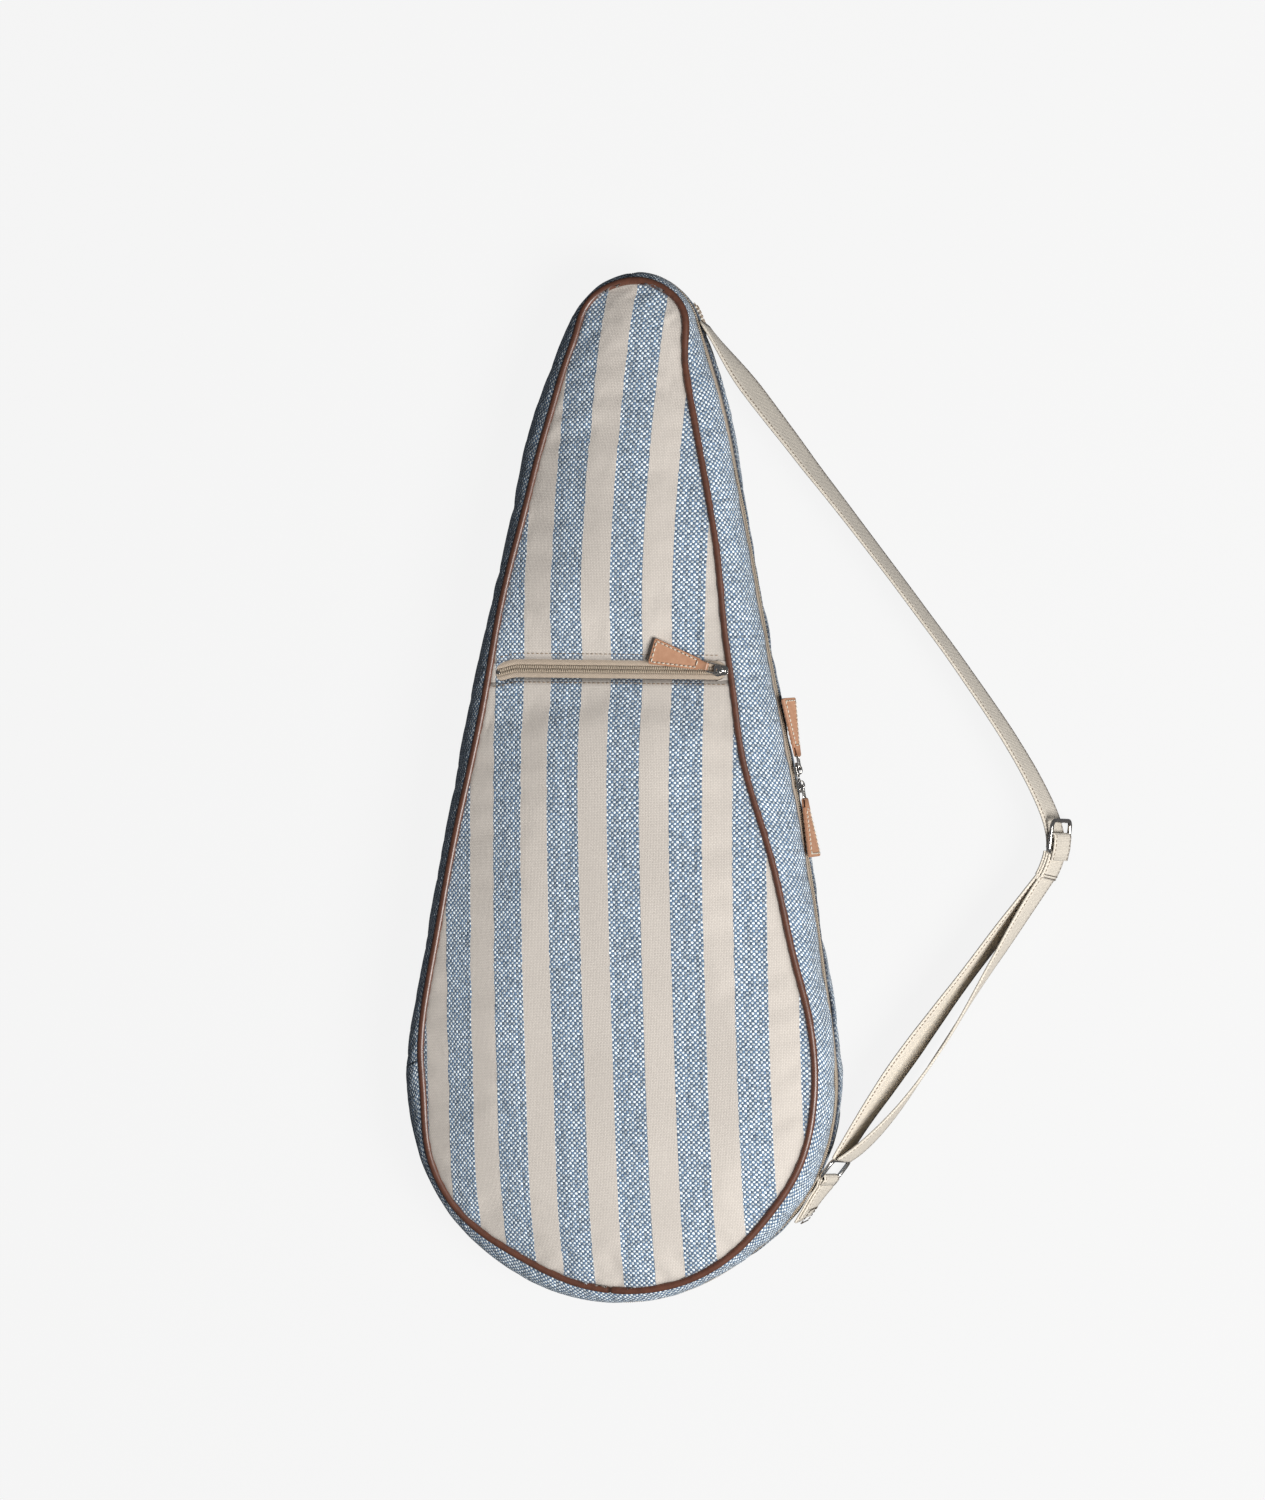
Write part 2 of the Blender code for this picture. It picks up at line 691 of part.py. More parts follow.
    # The sewn end that wraps the buckle's bar, and the two lengths down to the ring
    fold_start = buckle + into * (BUCKLE_LENGTH / 2 + GAP)
    fold_end = loop_top
    path, headings = bezier(
        fold_start, fold_start + into * 0.006, fold_end - heading * 0.006, fold_end, 4
    )
    add_ribbon("strap_fold", path, headings, low, high, 3 * WEBBING_THICKNESS, cotton, pivot)
    sideways = np.array([-heading[1], heading[0]])
    ring_top = ring - heading * (STRAP_RING_LENGTH / 2 + GAP)
    for sign, word, bow in ((-1, "inner", 0.006), (1, "outer", 0.022)):
        offset = (WEBBING_THICKNESS / 2 + GAP) * sign
        a = fold_end + heading * GAP * 2 + sideways * offset
        d = ring_top + sideways * (WEBBING_THICKNESS / 2 + GAP) * sign
        reach = np.linalg.norm(d - a)
        chord = (d - a) / reach
        normal = np.array([-chord[1], chord[0]])
        b = a + chord * reach * 0.35 + normal * (0.003 if sign > 0 else -0.004)
        c = a + chord * reach * 0.78 + normal * (bow if sign > 0 else -bow)
        path, headings = bezier(a, b, c, d, 20)
        add_ribbon("strap_lower_" + word, path, headings, low, high, WEBBING_THICKNESS, cotton, pivot)

    heading3 = np.array([*heading, 0.0])
    out3 = np.cross(heading3, across)
    centre = np.array([*ring, mid])
    add_ring(
        "strap_ring", centre, heading3, across, out3, STRAP_RING_LENGTH, width, STRAP_WIRE, metal, pivot
    )

    # Tab from the ring back along the gusset, sewn down at its far end
    tab_from = ring + heading * (STRAP_RING_LENGTH / 2 + GAP + 0.0002)
    first = atan2(tab_from[1], tab_from[0]) - radians(4)
    tab_radius = HEAD_RADIUS + GAP * 2 + WEBBING_THICKNESS / 2
    path = [tab_from]
    for turn in np.linspace(first, TAB_END_ANGLE, 7):
        path.append(tab_radius * direction(turn))
    path = np.array(path)
    headings = np.gradient(path, axis=0)
    headings /= np.linalg.norm(headings, axis=1)[:, None]
    add_ribbon("ring_tab", path, headings, low, high, WEBBING_THICKNESS, cotton)

    # Anchor of the strap's upper end, on the back half of the gusset
    sections = []
    for i in range(last, last + 4):
        sections.append(wall_section(i, -0.86, -0.24, -GAP - WEBBING_THICKNESS, -GAP, 5))
    add_sweep("strap_anchor", sections, False, cotton)

    # The cover hinges on the tangent at the middle of the left flank, at the height of the zip
    middle_turn = (FLANK_LOW + FLANK_HIGH) / 2
    hinge = (
        FLANK_ACROSS - FLANK_RADIUS * cos(middle_turn),
        FLANK_ALONG + FLANK_RADIUS * sin(middle_turn),
        MIDDLE,
    )
    for name in COVER_NODES:
        move_origin(name, hinge)


build()
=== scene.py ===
"""Racket cover in striped canvas, with piping, zips and a strap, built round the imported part.

Metres, in the part's own frame: +Z up out of the striped front, +Y towards the grip end, +X towards
the strap. While outlines are drawn the centre of the head circle is at x = 0, y = 0, and BASE_Y
moves each finished mesh into the frame.
"""

from math import atan2, cos, pi, radians, sin, sqrt

import bpy
import numpy as np
from bpy.props import FloatProperty, FloatVectorProperty, PointerProperty
from mathutils import Matrix, Vector, noise


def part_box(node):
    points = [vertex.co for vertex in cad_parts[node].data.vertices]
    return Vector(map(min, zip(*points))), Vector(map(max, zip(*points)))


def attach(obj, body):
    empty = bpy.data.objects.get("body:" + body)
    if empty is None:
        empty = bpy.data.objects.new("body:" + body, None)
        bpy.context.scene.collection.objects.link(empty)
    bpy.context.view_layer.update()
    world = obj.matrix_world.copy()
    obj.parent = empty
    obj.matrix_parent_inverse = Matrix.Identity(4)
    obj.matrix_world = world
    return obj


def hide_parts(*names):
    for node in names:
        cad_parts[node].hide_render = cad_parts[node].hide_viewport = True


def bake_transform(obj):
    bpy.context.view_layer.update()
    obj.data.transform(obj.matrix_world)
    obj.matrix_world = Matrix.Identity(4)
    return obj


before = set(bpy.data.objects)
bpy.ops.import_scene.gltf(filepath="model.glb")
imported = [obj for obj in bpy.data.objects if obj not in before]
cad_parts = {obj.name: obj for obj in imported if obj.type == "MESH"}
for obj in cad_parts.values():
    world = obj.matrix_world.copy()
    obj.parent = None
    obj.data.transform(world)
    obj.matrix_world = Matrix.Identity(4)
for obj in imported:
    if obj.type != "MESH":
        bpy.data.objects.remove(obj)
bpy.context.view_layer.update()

bl_info = {
    "name": "Striped racket cover",
    "version": (1, 0, 0),
    "blender": (4, 5, 0),
    "location": "3D View > Sidebar > Racket cover",
    "description": "Builds a striped canvas racket cover with zips, leather pullers and a webbing strap",
    "category": "Object",
}

# Outline and depth, as in the part
HEAD_RADIUS = 0.157
TIP_RADIUS = 0.049
CENTRE_SPAN = 0.534
FLANK_RADIUS = 3.3
PANEL_INSET = 0.0105
PANEL_FLANK_RADIUS = 20.0
DEPTH = 0.072
MIDDLE = DEPTH / 2
END_DROP = 0.014
END_POWER = 2.4
CROWN = 0.0085
CROWN_REACH = 0.026
CROWN_VALLEY = 0.048
FRONT_DROP = 0.0010
PIPING_RADIUS = 0.0022
GAP = 0.0003
CENTRE_Y = (CENTRE_SPAN + TIP_RADIUS - HEAD_RADIUS) / 2
HALF_LENGTH = (CENTRE_SPAN + TIP_RADIUS + HEAD_RADIUS) / 2
BASE_Y = -CENTRE_Y
UP = np.array([0.0, 0.0, 1.0])

# Zips
ZIP_HALF_OPENING = 0.0080
SLIDERS_MEET_Y = 0.222
POCKET_ZIP_Y = 0.297
POCKET_HALF_OPENING = 0.0065
POCKET_SLIDER_EDGE = 0.0110
SLIDER_LENGTH = 0.0105
SLIDER_WIDTH = 0.0090
SLIDER_THICKNESS = 0.0015
LOOP_RISE = 0.0028
LOOP_WALL = 0.0009
RING_WIRE = 0.0012
RING_WIDTH = 0.0076
RING_LENGTH = 0.0120
PULLER_LENGTH = 0.0400
PULLER_WIDE = 0.0190
PULLER_NARROW = 0.0080
PULLER_THICKNESS = 0.0022
POCKET_PULLER_TILT = radians(15)

# Shoulder strap
WEBBING_WIDTH = 0.032
WEBBING_THICKNESS = 0.0018
WEBBING_MIDDLE = 0.0205
STRAP_WIRE = 0.0030
BUCKLE_LENGTH = 0.026
STRAP_RING_LENGTH = 0.019
BUCKLE_AT = (0.309, 0.184)
LOOP_TOP = (0.302, 0.156)
STRAP_RING_STANDOFF = 0.0069
ANCHOR_HEADING = radians(-54)
ANCHOR_PULL = 0.150
BUCKLE_HEADING = radians(-96)
LOOP_HEADING = radians(-126)
RING_BEARING = radians(-20)

# Steps round the outline
HEAD_STEPS = 232
FLANK_STEPS = 204
TIP_STEPS = 60


def direction(angle):
    return np.array([cos(angle), sin(angle)])


def smooth(x):
    """0 below 0, 1 above 1, and an even curve between."""
    x = np.clip(x, 0.0, 1.0)
    return x * x * (3 - 2 * x)


def swell(y, bumps):
    """Sum of soft bumps along y, each given as (place, spread, height)."""
    return sum(height * np.exp(-(((y - place) / spread) ** 2)) for place, spread, height in bumps)


def rough(s, t, seed, scale):
    """Smooth seeded noise from -1 to 1 at each pair of s and t."""
    s, t = np.broadcast_arrays(np.asarray(s, float), np.asarray(t, float))
    flat = [
        noise.noise(Vector((a / scale, b / scale, seed * 7.3))) for a, b in zip(s.ravel(), t.ravel())
    ]
    return np.array(flat).reshape(s.shape)


def outline(head, tip, flank):
    """Points round the cover, anticlockwise: head, right flank, tip, left flank."""
    along = ((flank - head) ** 2 - (flank - tip) ** 2 + CENTRE_SPAN**2) / (2 * CENTRE_SPAN)
    across = sqrt((flank - head) ** 2 - along**2)
    low = atan2(-along, across)
    high = atan2(CENTRE_SPAN - along, across)
    arcs = (
        (0, 0, head, -pi - low, low, HEAD_STEPS),
        (-across, along, flank, low, high, FLANK_STEPS),
        (0, CENTRE_SPAN, tip, high, pi - high, TIP_STEPS),
        (across, along, flank, pi - high, pi - low, FLANK_STEPS),
    )
    points = []
    for x, y, radius, start, end, steps in arcs:
        for turn in np.linspace(start, end, steps + 1)[:-1]:
            points.append((x + radius * cos(turn), y + radius * sin(turn)))
    return np.array(points)


def round_normals(points):
    """Outward unit normals of a closed anticlockwise loop."""
    tangent = np.roll(points, -1, axis=0) - np.roll(points, 1, axis=0)
    normal = np.stack([tangent[:, 1], -tangent[:, 0]], axis=1)
    return normal / np.linalg.norm(normal, axis=1)[:, None]


def let_out(points, right, left):
    """The loop with its right and left sides let out by soft bumps, as sewn cloth settles."""
    normal = round_normals(points)
    to_right = smooth(normal[:, 0] * 1.2 + 0.5)
    y = points[:, 1]
    moved = points + normal * (swell(y, right) * to_right + swell(y, left) * (1 - to_right))[:, None]
    for _ in range(6):
        moved = moved * 0.5 + (np.roll(moved, 1, axis=0) + np.roll(moved, -1, axis=0)) * 0.25
    return moved


PLAIN_BELLY = outline(HEAD_RADIUS, TIP_RADIUS, FLANK_RADIUS)
BELLY = let_out(
    PLAIN_BELLY,
    ((0.03, 0.06, 0.0030), (-0.125, 0.035, -0.0045), (0.30, 0.09, -0.0030), (0.485, 0.05, 0.0060)),
    (
        (0.02, 0.04, 0.0026), (0.15, 0.14, -0.0022), (0.34, 0.10, -0.0008),
        (0.465, 0.05, 0.0046), (0.565, 0.022, -0.0045)
    ),
)
BACK_EDGE = outline(HEAD_RADIUS - PANEL_INSET, TIP_RADIUS - PANEL_INSET, PANEL_FLANK_RADIUS)
FRONT_EDGE = let_out(
    BACK_EDGE,
    (
        (-0.09, 0.03, -0.003),
        (0.05, 0.04, 0.0042),
        (0.24, 0.06, -0.0095),
        (0.325, 0.045, -0.0045),
        (0.55, 0.024, 0.0072),
    ),
    (
        (-0.13, 0.025, -0.006),
        (-0.01, 0.04, -0.0075),
        (0.18, 0.07, 0.0022),
        (0.35, 0.075, 0.0052),
        (0.45, 0.04, 0.002),
        (0.54, 0.02, -0.003),
    ),
)
COUNT = len(BELLY)
BELLY_OUT = round_normals(BELLY)
# The zip keeps to the plain outline, where the sliders run, and the cloth beside it bulges past it.
ZIP_IN = np.maximum(0.0, np.sum((BELLY - PLAIN_BELLY) * BELLY_OUT, axis=1)) * smooth(BELLY_OUT[:, 0] * 3)
ZIP_LINE = BELLY - BELLY_OUT * ZIP_IN[:, None]
RUN = np.concatenate(
    [[0.0], np.cumsum(np.linalg.norm(np.diff(BELLY, axis=0, append=BELLY[:1]), axis=1))]
)
ZIP_BULGE = 0.009
FLANK_CENTRE = np.array([-3.1199943561, -0.3795842697])
FLANK_TOP_TURN = radians(16.32088)
ZIP_FIRST = 5
ZIP_LAST = HEAD_STEPS + FLANK_STEPS + TIP_STEPS - 3
TIP_TOP = HEAD_STEPS + FLANK_STEPS + TIP_STEPS // 2
HEAD_LOW = HEAD_STEPS // 2


def edge_height(y):
    """Height of the front edge, which falls towards the tip and the head."""
    return DEPTH - END_DROP * np.minimum(1.0, np.abs(y - CENTRE_Y) / HALF_LENGTH) ** END_POWER


def nearest_edge(points, edge):
    """(distance, index) from each point in plan to the nearest point of an outline."""
    near = np.empty(len(points))
    which = np.empty(len(points), int)
    for start in range(0, len(points), 2000):
        part = points[start : start + 2000]
        gap = np.linalg.norm(part[:, None] - edge[None], axis=2)
        which[start : start + 2000] = gap.argmin(axis=1)
        near[start : start + 2000] = gap.min(axis=1)
    return near, which


def zip_sag(x):
    """The pocket zip droops a little where the front falls away at its left end."""
    return -0.0035 * smooth((-x - 0.072) / 0.018)


def front_height(y, inside):
    """Height of the padded front at a point that lies this far inside its edge."""
    valley = 1 - np.exp(-(((y - POCKET_ZIP_Y) / CROWN_VALLEY) ** 2))
    rise = 1 - np.exp(-np.maximum(0.0, inside) / CROWN_REACH)
    return edge_height(y) - FRONT_DROP + CROWN * rise * valley


def width_at(edge, y, right):
    """x of the right or left side of an outline at each y."""
    side = edge[edge[:, 0] > 0] if right else edge[edge[:, 0] < 0]
    side = side[np.argsort(side[:, 1])]
    return np.interp(y, side[:, 1], side[:, 0])


# Meshes


def new_piece(name, points, faces, uv=None, marks=None, flat=False):
    """A mesh object from points drawn about the head's centre, smooth, with one UV map in metres.

    Marks are named values at each point, such as how near it is to a seam."""
    points = np.asarray(points, float).reshape(-1, 3) + (0.0, BASE_Y, 0.0)
    mesh = bpy.data.meshes.new(name)
    mesh.from_pydata(points.tolist(), [], [tuple(int(k) for k in f) for f in faces])
    if uv is not None:
        uv = np.asarray(uv, float).reshape(-1, 2)
        layer = mesh.uv_layers.new(name="Cloth")
        loops = np.empty(len(mesh.loops), int)
        mesh.loops.foreach_get("vertex_index", loops)
        layer.data.foreach_set("uv", uv[loops].ravel())
    for mark, values in (marks or {}).items():
        made = mesh.attributes.new(mark, "FLOAT", "POINT")
        made.data.foreach_set("value", np.asarray(values, np.float32).ravel())
    mesh.polygons.foreach_set("use_smooth", [not flat] * len(mesh.polygons))
    piece = bpy.data.objects.new(name, mesh)
    bpy.context.scene.collection.objects.link(piece)
    return piece


def grid_faces(rows, columns, close_rows=False, close_columns=False):
    """Quads over points laid out row by row."""
    faces = []
    for r in range(rows if close_rows else rows - 1):
        s = (r + 1) % rows
        for c in range(columns if close_columns else columns - 1):
            d = (c + 1) % columns
            faces.append((r * columns + c, r * columns + d, s * columns + d, s * columns + c))
    return faces


def sheet_piece(name, grid, uv, marks, thickness, close_rows=False):
    """A cloth sheet of even thickness under a grid of points, whose rims are closed."""
    rows, columns = grid.shape[:2]
    piece = new_piece(name, grid, grid_faces(rows, columns, close_rows), uv, marks)
    thicken(piece, thickness)
    return piece


def thicken(piece, thickness, rim=True):
    solid = piece.modifiers.new("thickness", "SOLIDIFY")
    solid.thickness = thickness
    solid.offset = -1.0
    solid.use_rim = rim
    return solid


def keep_modifiers(piece):
    """Makes the piece's modifiers part of its mesh."""
    graph = bpy.context.evaluated_depsgraph_get()
    mesh = bpy.data.meshes.new_from_object(
        piece.evaluated_get(graph), preserve_all_data_layers=True, depsgraph=graph
    )
    piece.modifiers.clear()
    piece.data = mesh


def tube(path, radius, sides=8, closed=False, squeeze=1.0):
    """(points, faces, uv) of a tube along a 3-D path, capped when it is open. UV is length and turn."""
    path = np.asarray(path, float)
    count = len(path)
    if closed:
        tangent = np.roll(path, -1, axis=0) - np.roll(path, 1, axis=0)
    else:
        tangent = np.gradient(path, axis=0)
    tangent /= np.linalg.norm(tangent, axis=1)[:, None]
    guide = UP if abs(tangent[:, 2]).mean() < 0.8 else np.array([1.0, 0.0, 0.0])
    side = np.cross(tangent, guide)
    side /= np.linalg.norm(side, axis=1)[:, None]
    rise = np.cross(side, tangent)
    radius = np.broadcast_to(np.asarray(radius, float), (count,))
    turns = 2 * pi * np.arange(sides) / sides
    points = (
        path[:, None]
        + side[:, None] * (np.cos(turns)[None, :, None] * radius[:, None, None])
        + rise[:, None] * (np.sin(turns)[None, :, None] * radius[:, None, None] * squeeze)
    )
    step = np.linalg.norm(np.diff(path, axis=0), axis=1)
    length = np.concatenate([[0], np.cumsum(step)])
    uv = np.stack(np.broadcast_arrays(length[:, None], (turns / (2 * pi))[None] * 0.01), axis=2)
    faces = grid_faces(count, sides, closed, True)
    faces = [tuple(reversed(f)) for f in faces]
    if not closed:
        faces.append(tuple(range(sides)))
        faces.append(tuple((count - 1) * sides + k for k in reversed(range(sides))))
    return points.reshape(-1, 3), faces, uv.reshape(-1, 2)


def gather(parts):
    """Joins lists of (points, faces, uv) into one."""
    points, faces, uv, start = [], [], [], 0
    for p, f, u in parts:
        points.append(np.asarray(p).reshape(-1, 3))
        uv.append(np.asarray(u).reshape(-1, 2))
        faces.extend(tuple(k + start for k in face) for face in f)
        start += len(points[-1])
    return np.concatenate(points), faces, np.concatenate(uv)


def bezier(a, b, c, d, steps):
    a, b, c, d = (np.array(p, float) for p in (a, b, c, d))
    t = np.linspace(0, 1, steps + 1)[:, None]
    u = 1 - t
    points = a * u**3 + 3 * b * u * u * t + 3 * c * u * t * t + d * t**3
    slope = (b - a) * u * u + 2 * (c - b) * u * t + (d - c) * t * t
    return points, slope / np.linalg.norm(slope, axis=1)[:, None]


def stitches(path, out, length, gap, thickness):
    """(points, faces, uv) of a row of thread stitches that lie along a path on a surface."""
    path = np.asarray(path, float)
    out = np.broadcast_to(np.asarray(out, float), path.shape)
    step = np.linalg.norm(np.diff(path, axis=0), axis=1)
    run = np.concatenate([[0], np.cumsum(step)])
    count = max(1, int(run[-1] / (length + gap)))
    pitch = run[-1] / count
    parts = []
    for k in range(count):
        places = k * pitch + np.array([0.0, 0.18, 0.5, 0.82, 1.0]) * (pitch - gap)
        lift = np.array([-0.35, 0.75, 1.0, 0.75, -0.35]) * thickness * 0.5
        centre = np.stack([np.interp(places, run, path[:, j]) for j in range(3)], axis=1)
        normal = np.stack([np.interp(places, run, out[:, j]) for j in range(3)], axis=1)
        points, faces, uv = tube(
            centre + normal * lift[:, None], np.array([0.55, 0.95, 1, 0.95, 0.55]) * thickness / 2, 6
        )
        parts.append((points, faces, uv))
    return gather(parts)


def settle(piece, held, pressure, slack, most):
    """Cloth simulation of a padded sheet: the padding presses it out, slack cloth puckers at its seams.

    The held points stay, no point moves further than most, and the result is kept in the mesh."""
    mesh = piece.data
    rest = np.array([v.co for v in mesh.vertices])
    group = piece.vertex_groups.new(name="sewn")
    for index, weight in enumerate(held):
        if weight > 0:
            group.add([index], float(weight), "REPLACE")
    made = piece.modifiers.new("cloth", "CLOTH")
    cloth = made.settings
    cloth.quality = 6
    cloth.mass = 0.15
    cloth.tension_stiffness = cloth.compression_stiffness = 25
    cloth.shear_stiffness = 12
    cloth.bending_stiffness = 0.8
    cloth.air_damping = 4
    cloth.use_pressure = True
    cloth.uniform_pressure_force = pressure
    cloth.shrink_min = -slack
    cloth.vertex_group_mass = "sewn"
    cloth.effector_weights.gravity = 0
    made.collision_settings.use_collision = False
    made.collision_settings.use_self_collision = False
    scene = bpy.context.scene
    made.point_cache.frame_start, made.point_cache.frame_end = 1, 20
    for step in range(1, 21):
        scene.frame_set(step)
    graph = bpy.context.evaluated_depsgraph_get()
    shaped = piece.evaluated_get(graph).to_mesh()
    moved = np.array([v.co for v in shaped.vertices]) - rest
    piece.evaluated_get(graph).to_mesh_clear()
    piece.modifiers.remove(made)
    piece.vertex_groups.remove(group)
    scene.frame_set(1)
    length = np.linalg.norm(moved, axis=1)
    moved *= np.minimum(1.0, most / np.maximum(length, 1e-9))[:, None]
    mesh.vertices.foreach_set("co", (rest + moved).ravel())
    mesh.update()


# Materials


def add_node(tree, kind, inputs=None, **settings):
    made = tree.nodes.new(kind)
    for name, value in settings.items():
        setattr(made, name, value)
    for name, value in (inputs or {}).items():
        socket = made.inputs[name]
        if isinstance(value, bpy.types.NodeSocket):
            tree.links.new(value, socket)
        else:
            socket.default_value = value
    return made


def soft_noise(tree, place, scale, detail):
    """Noise from 0 to 1 over the piece."""
    return add_node(
        tree, "ShaderNodeTexNoise", {"Vector": place, "Scale": scale, "Detail": detail}
    ).outputs["Fac"]


def calc(tree, operation, a, b=0.0, c=0.0):
    """The result of a Math node on up to three values or sockets."""
    return add_node(tree, "ShaderNodeMath", {0: a, 1: b, 2: c}, operation=operation).outputs[0]


def blend_colour(tree, share, a, b, kind="MIX"):
    made = tree.nodes.new("ShaderNodeMix")
    made.data_type = "RGBA"
    made.blend_type = kind
    for socket, value in ((0, share), (6, a), (7, b)):
        if isinstance(value, bpy.types.NodeSocket):
            tree.links.new(value, made.inputs[socket])
        else:
            made.inputs[socket].default_value = value
    return made.outputs[2]


def start_group(name, inputs, outputs):
    """An empty shader node group: (group, its inputs' node, its outputs' node)."""
    tree = bpy.data.node_groups.new(name, "ShaderNodeTree")
    for label, kind, value in inputs:
        socket = tree.interface.new_socket(label, in_out="INPUT", socket_type="NodeSocket" + kind)
        if value is not None:
            socket.default_value = value
    for label, kind in outputs:
        tree.interface.new_socket(label, in_out="OUTPUT", socket_type="NodeSocket" + kind)
    return tree, tree.nodes.new("NodeGroupInput"), tree.nodes.new("NodeGroupOutput")


def woven_cloth():
    """Over-and-under weave of two threads: the colour on top, the height of the threads and their gaps."""
    name = "Woven cloth"
    if name in bpy.data.node_groups:
        return bpy.data.node_groups[name]
    tree, given, made = start_group(
        name,
        (
            ("Across", "Float", None),
            ("Along", "Float", None),
            ("Pitch", "Float", 0.0018),
            ("Warp", "Color", (0.2, 0.3, 0.5, 1)),
            ("Weft", "Color", (0.8, 0.8, 0.8, 1)),
            ("Slub", "Float", 0.4),
            ("Gap shade", "Float", 0.5),
            ("Uneven", "Float", 0.25),
        ),
        (("Colour", "Color"), ("Height", "Float"), ("Gap", "Float")),
    )
    place = add_node(
        tree, "ShaderNodeCombineXYZ", {0: given.outputs["Across"], 1: given.outputs["Along"]}
    ).outputs[0]
    stray = add_node(
        tree, "ShaderNodeTexNoise", {"Vector": place, "Scale": 260.0, "Detail": 2.0}, noise_dimensions="2D"
    ).outputs["Fac"]
    stray = calc(tree, "MULTIPLY", calc(tree, "SUBTRACT", stray, 0.5), given.outputs["Slub"])
    x = calc(tree, "ADD", calc(tree, "DIVIDE", given.outputs["Across"], given.outputs["Pitch"]), stray)
    y = calc(tree, "SUBTRACT", calc(tree, "DIVIDE", given.outputs["Along"], given.outputs["Pitch"]), stray)
    cell = calc(tree, "ADD", calc(tree, "FLOOR", x), calc(tree, "FLOOR", y))
    warp_up = calc(tree, "GREATER_THAN", calc(tree, "MODULO", calc(tree, "ADD", cell, 100000.0), 2.0), 0.5)
    fx = calc(tree, "SUBTRACT", calc(tree, "FRACT", x), 0.5)
    fy = calc(tree, "SUBTRACT", calc(tree, "FRACT", y), 0.5)
    round_x = calc(tree, "COSINE", calc(tree, "MULTIPLY", fx, pi))
    round_y = calc(tree, "COSINE", calc(tree, "MULTIPLY", fy, pi))
    rise_x = calc(tree, "SQRT", calc(tree, "MAXIMUM", round_x, 0.0))
    rise_y = calc(tree, "SQRT", calc(tree, "MAXIMUM", round_y, 0.0))
    arch_x = calc(tree, "MULTIPLY_ADD", round_x, 0.55, 0.45)
    arch_y = calc(tree, "MULTIPLY_ADD", round_y, 0.55, 0.45)
    warp_height = calc(tree, "MULTIPLY", rise_x, arch_y)
    weft_height = calc(tree, "MULTIPLY", rise_y, arch_x)
    height = add_node(
        tree, "ShaderNodeMix", {0: warp_up, 2: weft_height, 3: warp_height}, data_type="FLOAT"
    ).outputs[0]
    fibre = add_node(
        tree, "ShaderNodeTexNoise", {"Vector": place, "Scale": 1900.0, "Detail": 3.0}, noise_dimensions="2D"
    ).outputs["Fac"]
    height = calc(tree, "MULTIPLY_ADD", calc(tree, "SUBTRACT", fibre, 0.5), 0.35, height)
    colour = blend_colour(tree, warp_up, given.outputs["Weft"], given.outputs["Warp"])
    knot = add_node(
        tree, "ShaderNodeCombineXYZ", {0: calc(tree, "FLOOR", x), 1: calc(tree, "FLOOR", y)}
    ).outputs[0]
    chance = add_node(
        tree, "ShaderNodeTexWhiteNoise", {"Vector": knot}, noise_dimensions="2D"
    ).outputs["Value"]
    streak = add_node(
        tree, "ShaderNodeTexNoise",
        {"W": calc(tree, "FLOOR", x), "Scale": 0.73, "Detail": 1.0}, noise_dimensions="1D"
    ).outputs["Fac"]
    chance = calc(tree, "ADD", calc(tree, "SUBTRACT", chance, 0.5), calc(tree, "SUBTRACT", streak, 0.5))
    chance = calc(tree, "MULTIPLY_ADD", chance, given.outputs["Uneven"], 1.0)
    grey = add_node(tree, "ShaderNodeCombineXYZ", {0: chance, 1: chance, 2: chance}).outputs[0]
    colour = blend_colour(tree, 1.0, colour, grey, "MULTIPLY")
    gap = calc(tree, "SUBTRACT", 1.0, calc(tree, "MINIMUM", calc(tree, "MULTIPLY", height, 1.35), 1.0))
    gap = calc(tree, "MAXIMUM", gap, 0.0)
    shade = calc(tree, "MULTIPLY", gap, given.outputs["Gap shade"])
    dark = blend_colour(tree, 1.0, given.outputs["Warp"], (0.17, 0.17, 0.21, 1), "MULTIPLY")
    colour = blend_colour(tree, shade, colour, dark)
    tree.links.new(colour, made.inputs["Colour"])
    tree.links.new(height, made.inputs["Height"])
    tree.links.new(gap, made.inputs["Gap"])
    return tree


